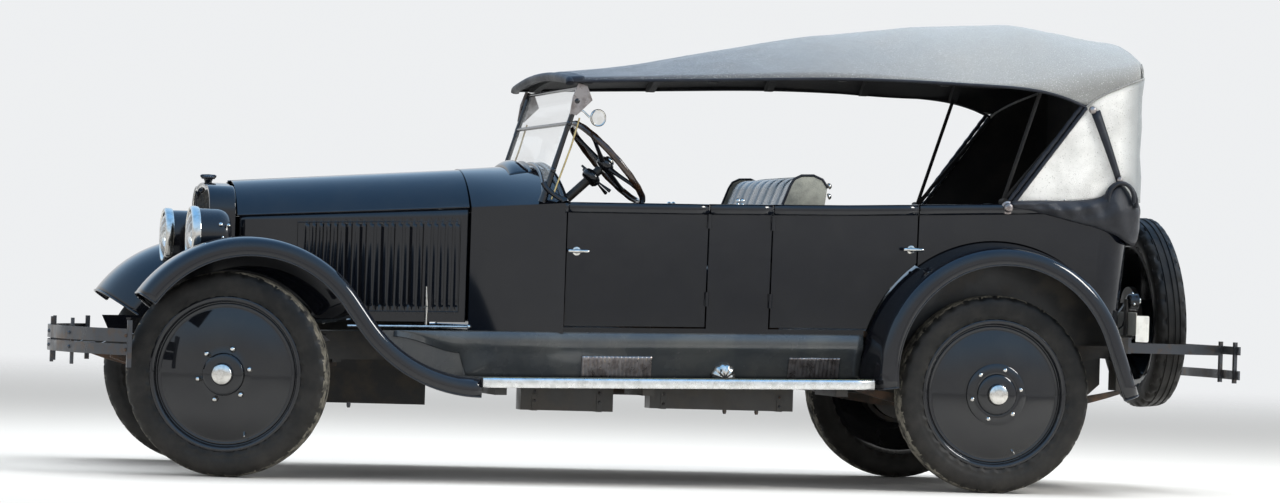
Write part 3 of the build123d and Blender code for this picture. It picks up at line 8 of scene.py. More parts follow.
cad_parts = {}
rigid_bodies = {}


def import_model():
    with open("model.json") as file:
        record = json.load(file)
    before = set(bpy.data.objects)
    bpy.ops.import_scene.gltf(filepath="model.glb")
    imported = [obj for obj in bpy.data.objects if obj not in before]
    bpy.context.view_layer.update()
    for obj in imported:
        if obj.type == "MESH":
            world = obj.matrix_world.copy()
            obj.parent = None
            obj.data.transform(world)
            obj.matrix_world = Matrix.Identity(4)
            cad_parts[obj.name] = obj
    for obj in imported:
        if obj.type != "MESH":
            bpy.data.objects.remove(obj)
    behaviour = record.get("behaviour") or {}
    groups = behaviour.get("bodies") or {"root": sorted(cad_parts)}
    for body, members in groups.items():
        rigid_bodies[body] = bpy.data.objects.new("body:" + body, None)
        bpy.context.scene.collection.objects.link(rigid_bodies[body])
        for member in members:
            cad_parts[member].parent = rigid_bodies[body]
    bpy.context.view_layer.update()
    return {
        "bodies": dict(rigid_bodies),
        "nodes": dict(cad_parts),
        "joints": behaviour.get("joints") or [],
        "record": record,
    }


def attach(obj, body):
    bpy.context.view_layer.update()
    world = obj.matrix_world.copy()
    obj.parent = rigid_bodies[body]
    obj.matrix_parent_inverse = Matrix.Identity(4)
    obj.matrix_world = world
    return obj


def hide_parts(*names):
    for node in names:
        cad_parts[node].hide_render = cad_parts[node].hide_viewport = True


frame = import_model()
nodes = frame["nodes"]
scene = bpy.context.scene
scene.view_settings.view_transform = "Standard"

# Lengths are in millimetres until P() turns them into metres. d is the distance behind the front axle.
FRONT_AXLE_X = -1860.0
WHEELBASE = 3250.0
TRACK = 1440.0
AXLE_Z = 422.5
KINGPIN_Y = 625.0
STEER_REST = 22.0
RAKE = 0.020
FRAME_TOP = 600.0


def P(d, y, z):
    """A point from its distance behind the front axle, side and height."""
    return Vector((FRONT_AXLE_X + d, y, z)) / 1000.0


# Camera, as the photograph was taken

CAMERA_AT = Vector((-4.53829, -19.33899, 0.83260))
YAW, PITCH, ROLL = 0.230339, 0.007832, 0.031377
FOCAL_PX = 4552.8
PHOTO_W = 1280.0
SENSOR_W = 36.0


def make_camera():
    ahead = Vector((math.sin(YAW) * math.cos(PITCH), math.cos(YAW) * math.cos(PITCH), math.sin(PITCH)))
    level = Vector((math.cos(YAW), -math.sin(YAW), 0))
    right = level * math.cos(ROLL) + level.cross(ahead) * math.sin(ROLL)
    up = right.cross(ahead)
    place = Matrix((right, up, -ahead)).transposed().to_4x4()
    place.translation = CAMERA_AT
    data = bpy.data.cameras.new("camera")
    data.sensor_width = SENSOR_W
    data.lens = FOCAL_PX / PHOTO_W * SENSOR_W
    data.clip_end = 200.0
    camera = bpy.data.objects.new("camera", data)
    camera.matrix_world = place
    scene.collection.objects.link(camera)
    scene.camera = camera


make_camera()


# Node materials

def node(tree, kind, settings=None, **links):
    """Adds a shader node. A link is a socket or a value; _N names the Nth input."""
    made = tree.nodes.new("ShaderNode" + kind)
    for key, value in (settings or {}).items():
        setattr(made, key, value)
    for key, value in links.items():
        socket = made.inputs[int(key[1:])] if key[0] == "_" else made.inputs[key.replace("_", " ")]
        if isinstance(value, bpy.types.NodeSocket):
            tree.links.new(value, socket)
        else:
            socket.default_value = value
    return made


def rgb(color):
    return (*color, 1.0)


def surface(
    name, base, rough, metal=0.0, spec=0.5, coat=0.0, second=None, patch=6.0, patch_at=(0.45, 0.62),
    rough_span=0.0, rough_scale=9.0, grain=None, dust=None, sheen=0.0, fleck=None, glass=0.0, alpha=1.0,
    along=None,
):
    """A procedural finish: two colours mixed in patches, dust low down, flecks, grain and uneven gloss.

    grain is (kind, scale, strength, distance), dust is (colour, height, amount) and fleck is (colour,
    scale, share). along is (colour, start, end), for a change of colour from one place along the car to
    another.
    """
    material = bpy.data.materials.new(name)
    material.use_nodes = True
    tree = material.node_tree
    shader = tree.nodes["Principled BSDF"]
    place = node(tree, "TexCoord").outputs["Object"]
    color = None

    def blend(share, over):
        return node(tree, "MixRGB", Fac=share, _1=color if color else rgb(base), _2=rgb(over)).outputs[0]

    if second:
        cloud = node(tree, "TexNoise", Vector=place, Scale=patch, Detail=6.0, Roughness=0.6)
        ramp = node(tree, "MapRange", Value=cloud.outputs["Fac"], _1=patch_at[0], _2=patch_at[1])
        color = blend(ramp.outputs[0], second)
    if along:
        split = node(tree, "SeparateXYZ", Vector=place)
        fade = node(tree, "MapRange", Value=split.outputs["X"], _1=along[1], _2=along[2])
        color = blend(fade.outputs[0], along[0])
    if fleck:
        spots = node(tree, "TexNoise", Vector=place, Scale=fleck[1], Detail=2.0)
        cut = node(tree, "MapRange", Value=spots.outputs["Fac"], _1=1 - fleck[2], _2=1.02 - fleck[2])
        color = blend(cut.outputs[0], fleck[0])
    if dust:
        split = node(tree, "SeparateXYZ", Vector=place)
        low = node(tree, "MapRange", Value=split.outputs["Z"], _1=dust[1], _2=0.0, _3=0.0, _4=dust[2])
        blot = node(tree, "TexNoise", Vector=place, Scale=14.0, Detail=8.0, Roughness=0.7)
        much = node(tree, "Math", {"operation": "MULTIPLY"}, _0=low.outputs[0], _1=blot.outputs["Fac"])
        color = blend(much.outputs[0], dust[0])
    if color:
        tree.links.new(color, shader.inputs["Base Color"])
    else:
        shader.inputs["Base Color"].default_value = rgb(base)
    shader.inputs["Roughness"].default_value = rough
    if rough_span:
        cloud = node(tree, "TexNoise", Vector=place, Scale=rough_scale, Detail=5.0)
        low, high = max(0.02, rough - rough_span), rough + rough_span
        span = node(tree, "MapRange", Value=cloud.outputs["Fac"], _1=0.3, _2=0.7, _3=low, _4=high)
        tree.links.new(span.outputs[0], shader.inputs["Roughness"])
    if grain:
        kind, scale, strength, distance = grain
        if kind == "cells":
            height = node(tree, "TexVoronoi", Vector=place, Scale=scale).outputs["Distance"]
        elif kind == "weave":
            one = node(tree, "TexWave", {"bands_direction": "X"}, Vector=place, Scale=scale, Distortion=0.4)
            two = node(tree, "TexWave", {"bands_direction": "Z"}, Vector=place, Scale=scale, Distortion=0.4)
            height = node(tree, "Math", {"operation": "ADD"}, _0=one.outputs["Fac"], _1=two.outputs["Fac"])
            height = height.outputs[0]
        else:
            height = node(tree, "TexNoise", Vector=place, Scale=scale, Detail=4.0).outputs["Fac"]
        bump = node(tree, "Bump", Height=height, Strength=strength, Distance=distance)
        tree.links.new(bump.outputs[0], shader.inputs["Normal"])
    finish = {
        "Metallic": metal, "Specular IOR Level": spec, "Coat Weight": coat, "Coat Roughness": 0.03,
        "Sheen Weight": sheen, "Transmission Weight": glass, "Alpha": alpha,
    }
    for socket, value in finish.items():
        shader.inputs[socket].default_value = value
    return material


ROAD_DUST = (0.16, 0.14, 0.115)
PAINT = surface(
    "paint", (0.0045, 0.0055, 0.009), 0.075, spec=0.42, coat=0.18,
    second=(0.007, 0.008, 0.011), rough_span=0.035, grain=("noise", 38.0, 0.035, 0.0006),
    dust=(ROAD_DUST, 0.75, 0.16), fleck=((0.06, 0.06, 0.055), 900.0, 0.27),
)
WHEEL_PAINT = surface(
    "wheel_paint", (0.004, 0.005, 0.008), 0.06, spec=0.45, coat=0.2,
    second=(0.008, 0.009, 0.011), rough_span=0.03, grain=("noise", 30.0, 0.03, 0.0005),
    dust=(ROAD_DUST, 0.55, 0.14), fleck=((0.09, 0.085, 0.075), 700.0, 0.28),
)
CHASSIS = surface(
    "chassis_black", (0.011, 0.011, 0.011), 0.42, second=(0.032, 0.026, 0.02),
    patch=9.0, rough_span=0.14, grain=("noise", 120.0, 0.12, 0.0008), dust=(ROAD_DUST, 0.7, 0.5),
)
TREAD_RUBBER = surface(
    "tread_rubber", (0.20, 0.185, 0.15), 0.8, spec=0.2, second=(0.03, 0.029, 0.027), patch=26.0,
    patch_at=(0.4, 0.62), rough_span=0.1, grain=("noise", 260.0, 0.3, 0.0009),
)
RUBBER = surface(
    "tyre_rubber", (0.004, 0.0045, 0.005), 0.56, spec=0.24, second=(0.018, 0.017, 0.016),
    patch=11.0, patch_at=(0.42, 0.7), rough_span=0.12, grain=("noise", 260.0, 0.22, 0.0007),
    dust=(ROAD_DUST, 0.9, 0.25),
)
NICKEL = surface(
    "nickel", (0.66, 0.64, 0.60), 0.17, metal=1.0, second=(0.50, 0.48, 0.44),
    patch=40.0, rough_span=0.07, rough_scale=60.0, grain=("noise", 180.0, 0.06, 0.0004),
)
ALUMINIUM = surface(
    "aluminium_trim", (0.74, 0.74, 0.73), 0.3, metal=1.0, second=(0.60, 0.60, 0.58),
    patch=24.0, rough_span=0.1, rough_scale=50.0, grain=("noise", 320.0, 0.1, 0.0004),
)
STEEL = surface(
    "bumper_steel", (0.07, 0.074, 0.082), 0.38, metal=0.8, second=(0.10, 0.07, 0.05),
    patch=16.0, patch_at=(0.5, 0.68), rough_span=0.12, grain=("noise", 150.0, 0.15, 0.0008),
    dust=(ROAD_DUST, 0.9, 0.2),
)
# Black coated top cloth. The paler grey towards the rear (along) and the pale flecks are painted sheen and
# painted glints of the glossy pebbled cloth, not its own colour.
TOP_CLOTH_PAINTED_SHEEN = surface(
    "top_cloth_painted_sheen", (0.022, 0.024, 0.03), 0.40, spec=0.55, second=(0.04, 0.042, 0.048),
    patch=3.5, rough_span=0.1, rough_scale=5.0, grain=("cells", 380.0, 0.7, 0.002), sheen=0.08,
    along=((0.235, 0.238, 0.23), -0.40, 1.3), fleck=((0.5, 0.51, 0.5), 260.0, 0.36),
)
# Glossy black aprons. The pale bluish-grey base and its paler patches are painted reflection of the ground
# and sky; the dust low down is real road dust.
APRON_DUST_AND_PAINTED_REFLECTION = surface(
    "apron_dust_and_painted_reflection", (0.05, 0.058, 0.064), 0.24, spec=0.5, coat=0.5,
    second=(0.08, 0.086, 0.086), patch=5.0, rough_span=0.16, dust=(ROAD_DUST, 0.7, 0.4),
)
# Black coated quarter and back cloth. The near-white base and its patches are painted sun glare on the
# glossy cloth; the darker grey along the back curtain (along) is painted shade.
QUARTER_CLOTH_PAINTED_GLARE = surface(
    "quarter_cloth_painted_glare", (0.86, 0.86, 0.84), 0.42, spec=0.5, second=(0.70, 0.70, 0.68),
    patch=7.0, rough_span=0.1, rough_scale=8.0, grain=("cells", 380.0, 0.6, 0.002), sheen=0.08,
    along=((0.26, 0.28, 0.29), 1.95, 2.03), fleck=((0.4, 0.4, 0.38), 200.0, 0.34),
)
TOP_EDGE_CLOTH = surface(
    "top_binding", (0.010, 0.012, 0.018), 0.5, spec=0.3, second=(0.02, 0.022, 0.028),
    patch=12.0, rough_span=0.1, grain=("cells", 380.0, 0.4, 0.001),
)
BOOT_CLOTH = surface(
    "boot_cloth", (0.007, 0.008, 0.012), 0.42, spec=0.35, second=(0.018, 0.02, 0.026),
    patch=9.0, rough_span=0.12, rough_scale=14.0, grain=("cells", 380.0, 0.5, 0.0015), sheen=0.05,
)
LINING = surface(
    "top_lining", (0.012, 0.012, 0.013), 0.85, spec=0.2, second=(0.02, 0.019, 0.018),
    patch=7.0, grain=("weave", 900.0, 0.25, 0.0006), sheen=0.1,
)
SEAT_LEATHER = surface(
    "seat_leather", (0.05, 0.085, 0.125), 0.26, spec=0.6, coat=0.4,
    second=(0.08, 0.12, 0.16), patch=9.0, rough_span=0.14, grain=("cells", 300.0, 0.5, 0.0012),
    sheen=0.05,
)
SEAT_PANEL = surface(
    "seat_panel", (0.40, 0.41, 0.36), 0.34, spec=0.5, second=(0.20, 0.21, 0.19), patch=8.0,
    rough_span=0.14, grain=("cells", 300.0, 0.5, 0.0012), sheen=0.05,
)
TRIM = surface(
    "trim_leather", (0.016, 0.016, 0.018), 0.5, second=(0.028, 0.027, 0.026), patch=8.0,
    grain=("cells", 420.0, 0.3, 0.001),
)
WOOD = surface(
    "ash_wood", (0.11, 0.062, 0.032), 0.5, second=(0.07, 0.038, 0.02), patch=18.0,
    rough_span=0.1, grain=("noise", 90.0, 0.15, 0.001),
)
RIM_WOOD = surface(
    "rim_wood", (0.022, 0.012, 0.008), 0.2, coat=0.4, second=(0.05, 0.028, 0.016),
    patch=22.0, grain=("noise", 60.0, 0.05, 0.0005),
)
IRON = surface(
    "cast_iron", (0.028, 0.027, 0.026), 0.6, metal=0.3, second=(0.05, 0.04, 0.03), patch=10.0,
    grain=("noise", 140.0, 0.3, 0.0012),
)
RUST = surface(
    "spring_steel", (0.045, 0.034, 0.027), 0.6, metal=0.4, second=(0.11, 0.06, 0.035),
    patch=14.0, rough_span=0.12, grain=("noise", 170.0, 0.3, 0.001), dust=(ROAD_DUST, 0.8, 0.4),
)
CORE = surface(
    "radiator_core", (0.02, 0.019, 0.016), 0.5, metal=0.6, second=(0.05, 0.042, 0.03),
    patch=20.0, grain=("cells", 160.0, 1.0, 0.004),
)
MAT = surface(
    "board_mat", (0.014, 0.014, 0.015), 0.55, second=(0.03, 0.029, 0.027), patch=15.0,
    grain=("noise", 210.0, 0.2, 0.0008), dust=(ROAD_DUST, 0.9, 0.35),
)
BRASS = surface(
    "brass", (0.62, 0.47, 0.22), 0.28, metal=1.0, second=(0.45, 0.33, 0.16), patch=30.0,
    rough_span=0.08, grain=("noise", 200.0, 0.08, 0.0004),
)
KICK = surface(
    "kick_plate", (0.34, 0.31, 0.30), 0.36, metal=0.85, second=(0.20, 0.17, 0.16),
    patch=26.0, rough_span=0.12, rough_scale=40.0, grain=("noise", 240.0, 0.2, 0.0008),
)
LAMP_PAINT = surface(
    "lamp_paint", (0.006, 0.007, 0.010), 0.14, spec=0.45, coat=0.15,
    second=(0.012, 0.012, 0.013), rough_span=0.06, grain=("noise", 60.0, 0.05, 0.0006),
    dust=(ROAD_DUST, 0.6, 0.1),
)
CAP_BLACK = surface(
    "cap_black", (0.008, 0.008, 0.012), 0.3, second=(0.02, 0.02, 0.022), patch=30.0,
    rough_span=0.1, grain=("noise", 150.0, 0.1, 0.0005),
)
MIRROR = surface(
    "mirror_silver", (0.86, 0.86, 0.85), 0.05, metal=1.0, second=(0.78, 0.77, 0.74),
    patch=30.0, grain=("noise", 40.0, 0.02, 0.0003),
)
PLATE = surface(
    "blank_plate", (0.62, 0.62, 0.57), 0.4, second=(0.48, 0.47, 0.42), patch=9.0,
    grain=("noise", 60.0, 0.1, 0.001), dust=(ROAD_DUST, 1.0, 0.3),
)
# White that stands for the sunlit side of the plate's bracket: painted sunlight, not the part's own colour.
CHEEK_PAINTED_SUNLIGHT = surface(
    "plate_cheek_painted_sunlight", (0.86, 0.86, 0.82), 0.4, second=(0.66, 0.66, 0.62), patch=14.0,
)
RED_LENS = surface("red_lens", (0.30, 0.012, 0.008), 0.12, coat=0.6,
                   grain=("cells", 260.0, 0.5, 0.002))
GLASS = surface("plate_glass", (0.93, 0.96, 0.96), 0.02, spec=0.4, alpha=0.16)
LENS = surface("lamp_lens", (0.95, 0.96, 0.95), 0.06, glass=0.85,
               grain=("cells", 60.0, 0.25, 0.002))


# Stage, light and world

HORIZON = (0.97, 0.985, 1.0)
SKY_MIDDLE = (0.85, 1.20, 1.60)
SKY_TOP = (0.34, 0.80, 1.50)


def make_stage():
    bpy.ops.mesh.primitive_circle_add(vertices=96, radius=45.0, fill_type="NGON", location=(0, 0, 0))
    floor = bpy.context.object
    floor.name = "studio_floor"
    material = bpy.data.materials.new("studio_floor")
    material.use_nodes = True
    tree = material.node_tree
    shader = tree.nodes["Principled BSDF"]
    shader.inputs["Base Color"].default_value = (0.76, 0.76, 0.75, 1)
    shader.inputs["Roughness"].default_value = 0.9
    shader.inputs["Specular IOR Level"].default_value = 0.0
    place = node(tree, "TexCoord").outputs["Object"]
    far = node(tree, "VectorMath", {"operation": "LENGTH"}, _0=place).outputs["Value"]
    fade = node(tree, "MapRange", {"interpolation_type": "SMOOTHSTEP"}, Value=far, _1=7.0,
                _2=26.0).outputs[0]
    clear = node(tree, "BsdfTransparent")
    mixed = node(tree, "MixShader", _0=fade, _1=shader.outputs[0], _2=clear.outputs[0])
    tree.links.new(mixed.outputs[0], tree.nodes["Material Output"].inputs["Surface"])
    floor.data.materials.append(material)

    world = bpy.data.worlds.new("studio")
    scene.world = world
    world.use_nodes = True
    tree = world.node_tree
    back = tree.nodes["Background"]
    path = node(tree, "LightPath")
    seen = node(tree, "Math", {"operation": "MAXIMUM"}, _0=path.outputs["Is Camera Ray"],
                _1=path.outputs["Is Glossy Ray"])
    seen = node(tree, "Math", {"operation": "MAXIMUM"}, _0=seen.outputs[0],
                _1=path.outputs["Is Transmission Ray"])
    strength = node(tree, "MapRange", Value=seen.outputs[0], _3=0.62, _4=0.88)
    tree.links.new(strength.outputs[0], back.inputs["Strength"])
    toward = node(tree, "TexCoord").outputs["Generated"]
    up = node(tree, "SeparateXYZ", Vector=toward)
    low = node(tree, "MapRange", {"interpolation_type": "SMOOTHSTEP"}, Value=up.outputs["Z"], _1=0.08,
               _2=0.5)
    high = node(tree, "MapRange", Value=up.outputs["Z"], _1=0.4, _2=1.0)
    sky = node(tree, "MixRGB", Fac=low.outputs[0], _1=rgb(HORIZON), _2=rgb(SKY_MIDDLE)).outputs[0]
    sky = node(tree, "MixRGB", Fac=high.outputs[0], _1=sky, _2=rgb(SKY_TOP)).outputs[0]
    color = node(tree, "MixRGB", Fac=path.outputs["Is Glossy Ray"], _1=rgb(HORIZON), _2=sky)
    tree.links.new(color.outputs[0], back.inputs["Color"])


def area_light(name, at, aim, width, height, power, color, mirrored=True):
    data = bpy.data.lights.new(name, "AREA")
    data.shape = "RECTANGLE"
    data.size = width
    data.size_y = height
    data.energy = power
    data.color = color
    lamp = bpy.data.objects.new(name, data)
    scene.collection.objects.link(lamp)
    lamp.visible_glossy = mirrored
    lamp.location = at
    lamp.rotation_euler = (Vector(aim) - Vector(at)).to_track_quat("-Z", "Y").to_euler()


make_stage()
area_light("overhead", (0.4, 0.6, 6.5), (0, 0, 0.6), 8.5, 3.6, 520.0, (0.95, 0.98, 1.0), False)
area_light("key", (7.5, -3.5, 5.5), (0.6, 0, 0.9), 2.4, 2.4, 420.0, (1.0, 0.97, 0.92))
area_light("fill", (-7.0, -7.0, 3.5), (-1.0, 0, 0.6), 4.0, 2.5, 130.0, (0.93, 0.96, 1.0), False)


# Mesh helpers


def put(name, verts, faces, material, body="chassis", stands_for="", crease=35.0, bevel=0.0, thick=0.0,
        centred=True, place=None):
    """Makes a piece from vertices and faces, in metres, and gives it its body and slot.

    thick is in millimetres, to both sides of the faces if centred and otherwise to one side, by its sign.
    """
    mesh = bpy.data.meshes.new(name)
    mesh.from_pydata([tuple(v) for v in verts], [], faces)
    work = bmesh.new()
    work.from_mesh(mesh)
    bmesh.ops.remove_doubles(work, verts=work.verts, dist=1e-6)
    bmesh.ops.recalc_face_normals(work, faces=work.faces)
    work.to_mesh(mesh)
    work.free()
    if place is not None:
        mesh.transform(place)
    piece = bpy.data.objects.new(name, mesh)
    scene.collection.objects.link(piece)
    mesh.materials.append(material)
    if thick:
        shell = piece.modifiers.new("thickness", "SOLIDIFY")
        shell.thickness = abs(thick) / 1000.0
        shell.offset = 0.0 if centred else (-1.0 if thick > 0 else 1.0)
        shell.use_even_offset = not centred
    if bevel:
        soft = piece.modifiers.new("soft edges", "BEVEL")
        soft.width = bevel / 1000.0
        soft.segments = 3
        soft.limit_method = "ANGLE"
        soft.angle_limit = math.radians(35)
    mesh.shade_smooth()
    mesh.set_sharp_from_angle(angle=math.radians(crease))
    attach(piece, body)
    if stands_for:
        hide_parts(stands_for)
    return piece


def joined(parts):
    """Several lots of vertices and faces as one lot."""
    verts = []
    faces = []
    for more_verts, more_faces in parts:
        first = len(verts)
        verts += more_verts
        faces += [tuple(first + i for i in face) for face in more_faces]
    return verts, faces


def grid_faces(rows, across, closed_row=False, closed_ring=False):
    faces = []
    for i in range(rows if closed_ring else rows - 1):
        for j in range(across if closed_row else across - 1):
            here = i * across
            past = (i + 1) % rows * across
            nearby = (j + 1) % across
            faces.append((here + j, here + nearby, past + nearby, past + j))
    return faces


def skin(name, rows, material, closed_row=False, closed_ring=False, caps=False, **more):
    """A surface through rows of points."""
    across = len(rows[0])
    verts = [v for row in rows for v in row]
    faces = grid_faces(len(rows), across, closed_row, closed_ring)
    if caps:
        faces.append(tuple(range(across)))
        faces.append(tuple(range(len(verts) - across, len(verts))))
    return put(name, verts, faces, material, **more)


def lathe_rows(profile, turns, shape=None):
    """Rows of a turned form about Y. profile holds radius and place along Y, in millimetres."""
    rows = []
    for i in range(turns):
        a = 2 * math.pi * i / turns
        row = []
        for j, (r, y) in enumerate(profile):
            radius = shape(i, j, r, y) if shape else r
            row.append(Vector((radius * math.cos(a), y, radius * math.sin(a))) / 1000.0)
        rows.append(row)
    return rows


def lathe(name, profile, material, turns=96, shape=None, **more):
    return skin(name, lathe_rows(profile, turns, shape), material, closed_ring=True, **more)


def ring(name, profile, material, turns, **more):
    """A turned form about Y whose profile is a closed outline."""
    return skin(name, lathe_rows(profile, turns), material, closed_row=True, closed_ring=True, **more)


def tube_parts(points, radius, sides=10, closed=False):
    """Vertices and faces of a round bar along points, in metres, with its ends filled."""
    verts = []
    count = len(points)
    side = None
    for i, point in enumerate(points):
        before = points[i - 1] if i or closed else points[0]
        after = points[(i + 1) % count] if i < count - 1 or closed else points[-1]
        run = (after - before).normalized()
        if side is None:
            side = run.cross(Vector((0, 0, 1) if abs(run.z) < 0.9 else (0, 1, 0))).normalized()
        side = (side - run * side.dot(run)).normalized()
        other = run.cross(side)
        r = (radius[i] if isinstance(radius, (list, tuple)) else radius) / 1000.0
        for k in range(sides):
            a = 2 * math.pi * k / sides
            verts.append(point + (side * math.cos(a) + other * math.sin(a)) * r)
    faces = grid_faces(count, sides, True, closed)
    if not closed:
        faces += [tuple(range(sides)), tuple(range((count - 1) * sides, count * sides))]
    return verts, faces


def tubes(name, paths, radius, material, sides=10, closed=False, **more):
    """Several round bars of one thickness, or of one run of radii, as one piece."""
    return put(name, *joined(tube_parts(points, radius, sides, closed) for points in paths), material,
               **more)


def bars(name, items, material, **more):
    """Several round bars as one piece. Each item is (points, radius or radii, sides)."""
    return put(name, *joined(tube_parts(*item) for item in items), material, **more)


def prism_parts(outline, lift):
    """Vertices and faces of a flat outline carried along a vector."""
    count = len(outline)
    verts = list(outline) + [v + lift for v in outline]
    faces = [tuple(range(count)), tuple(range(count, 2 * count))]
    for i in range(count):
        j = (i + 1) % count
        faces.append((i, j, count + j, count + i))
    return verts, faces


def prisms(name, items, material, **more):
    """Several carried outlines as one piece. Each item is (outline points, lift vector)."""
    return put(name, *joined(prism_parts(*item) for item in items), material, **more)


def dome_parts(at, radius, toward):
    """A round button with its flat side at a point, standing out along a direction."""
    rings, turns = 6, 16
    toward = Vector(toward).normalized()
    side = toward.cross(Vector((0, 0, 1) if abs(toward.z) < 0.9 else (1, 0, 0))).normalized()
    other = toward.cross(side)
    verts = []
    for i in range(rings + 1):
        a = math.pi / 2 * i / rings
        for k in range(turns):
            b = 2 * math.pi * k / turns
            out = side * math.cos(b) + other * math.sin(b)
            verts.append(at + (out * math.cos(a) * 0.999 + toward * math.sin(a)) * radius / 1000.0)
    return verts, grid_faces(rings + 1, turns, True) + [tuple(range(turns))]


def domes(name, items, material, **more):
    """Several buttons as one piece. Each item is (point, radius, direction)."""
    return put(name, *joined(dome_parts(*item) for item in items), material, **more)


def side_plate(points, y0, y1):
    """An outline of d and z carried from y0 to y1."""
    return [P(d, y0, z) for d, z in points], Vector((0, (y1 - y0) / 1000.0, 0))


def brick(d0, d1, y0, y1, z0, z1):
    return side_plate([(d0, z0), (d1, z0), (d1, z1), (d0, z1)], y0, y1)


def mix(a, b, t):
    return a + (b - a) * t


def steps(a, b, count):
    return [mix(a, b, i / count) for i in range(count + 1)]


def ease(t):
    t = min(1.0, max(0.0, t))
    return t * t * (3 - 2 * t)


def arc(centre, radius, start, end, count):
    """Points along an arc, between two angles in degrees."""
    angles = [math.radians(a) for a in steps(start, end, count)]
    return [(centre[0] + radius * math.cos(a), centre[1] + radius * math.sin(a)) for a in angles]


def line_at(table, x):
    """Value of a broken line given as pairs."""
    for (x0, y0), (x1, y1) in zip(table, table[1:]):
        if x <= x1:
            return mix(y0, y1, (x - x0) / (x1 - x0))
    return table[-1][1]


def smooth_at(table, x):
    """Value of a smooth curve through pairs."""
    if x <= table[0][0]:
        return table[0][1]
    for i in range(len(table) - 1):
        x0, y0 = table[i]
        x1, y1 = table[i + 1]
        if x <= x1:
            before = table[max(i - 1, 0)]
            after = table[min(i + 2, len(table) - 1)]
            m0 = (y1 - before[1]) / (x1 - before[0])
            m1 = (after[1] - y0) / (after[0] - x0)
            h = x1 - x0
            t = (x - x0) / h
            return (
                (2 * t ** 3 - 3 * t ** 2 + 1) * y0
                + (t ** 3 - 2 * t ** 2 + t) * h * m0
                + (3 * t ** 2 - 2 * t ** 3) * y1
                + (t ** 3 - t ** 2) * h * m1
            )
    return table[-1][1]


SIDES = (("left", -1), ("right", 1))


# Wheels

TYRE_PROFILE = [
    (313, 44), (318, 48), (325, 52), (334, 57.5), (338, 60.5), (342, 60), (352, 65.5), (364, 68.3),
    (378, 69), (392, 68), (402, 65), (408, 62), (411, 59), (416, 55), (419, 50), (420.5, 43),
    (421.5, 34), (421.8, 32), (417, 30), (417, 26), (422, 24), (422.5, 12), (422.5, 8), (417.5, 6),
    (417.5, 1),
]
DISC_PROFILE = [
    (0, -70), (60, -70), (87, -66), (89, -65), (120, -63.5), (160, -59), (200, -52.5), (240, -43),
    (270, -34), (279, -31.5), (282, -33), (286, -34.5), (290, -33), (293, -30), (296, -31), (297, -40),
    (300, -48), (305, -52), (311, -54), (317, -53.5), (321.5, -50), (322, -46), (318, -45), (312, -45),
    (312, 45), (318, 45), (322, 46), (321, 51), (312, 52), (297, 52), (296, -22), (240, -34),
    (200, -45), (110, -57), (55, -58), (55, 38), (26, 38), (26, -68), (0, -68),
]
HUB_FLANGE = [
    (0, -98), (44, -98), (47, -92), (60, -90), (76, -88.5), (83, -86), (87, -81), (88, -74), (88, -64),
    (60, -69), (0, -69),
]
REAR_PLATE = [(88, -70), (128, -66), (131, -68), (131, -74), (127, -77), (92, -80), (88, -79)]
CAP_PROFILE = [
    (0, -117.5), (16, -117.2), (30, -115.5), (34, -113), (38, -112.5), (42, -109), (43.5, -104),
    (43.8, -96), (43.8, -90), (40, -88), (0, -88),
]
NUT_COUNT = 6
NUT_CIRCLE = 110.0
NUT_PROFILE = [(13, -62), (13, -74), (11.5, -76), (9, -81), (5, -84.5), (1.5, -85.5)]
NUT_FLAT = 0.90      # how near its axis a hexagon's side is, as a share of its corners
BRAKE_DRUM = [(152, -50), (170, -50), (172, -46), (172, 41), (168, 44), (152, 44)]
VALVE_ANGLE = -70.0
TREAD_WORN_R = 0.4165      # metres; the blocks' tops lie outside it
TREAD_HALF = 0.064
SPARE_D, SPARE_Z, SPARE_LEAN = 4172.0, 790.0, 4.7


def turned(degrees, axis):
    return Matrix.Rotation(math.radians(degrees), 4, axis)


def side_turn(side):
    """Turns a form made for the left side round, if it is for the right side."""
    return Matrix.Rotation(math.pi, 4, "Z") if side > 0 else Matrix.Identity(4)


def wheel_place(d, side, steer):
    place = Matrix.Translation(P(d, side * TRACK / 2, AXLE_Z)) @ side_turn(side)
    if not steer:
        return place
    pin = P(0, side * KINGPIN_Y, 0)
    return Matrix.Translation(pin) @ turned(-STEER_REST, "Z") @ Matrix.Translation(-pin) @ place


def tread(i, _, r, y):
    """Cuts the shoulder blocks and staggers the ribs of the tread."""
    if 49 < abs(y) < 63 and (i // 2) % 3 == 0:
        return r - 8.0
    if 32 < abs(y) <= 49 and (i // 2 + (1 if y > 0 else 0)) % 4 == 0:
        return r - 6.0
    return r


def nut_parts(at):
    """A hexagon nut with a domed end, standing out to -Y at a place on the wheel's face."""
    sides = 12
    verts = []
    for r, y in NUT_PROFILE:
        for k in range(sides):
            a = 2 * math.pi * k / sides
            reach = r * NUT_FLAT if r >= 12 and k % 2 else r
            verts.append(Vector((at[0] + reach * math.cos(a), y, at[1] + reach * math.sin(a))) / 1000.0)
    count = len(verts)
    caps = [tuple(range(count - sides, count)), tuple(range(sides))]
    return verts, grid_faces(len(NUT_PROFILE), sides, True) + caps


def wear_tread(tyre, place):
    """Gives the tops of the tread blocks their dusty rubber."""
    mesh = tyre.data
    mesh.materials.append(TREAD_RUBBER)
    back = place.inverted()
    for face in mesh.polygons:
        at = back @ face.center
        if math.hypot(at.x, at.z) > TREAD_WORN_R and abs(at.y) < TREAD_HALF:
            face.material_index = 1


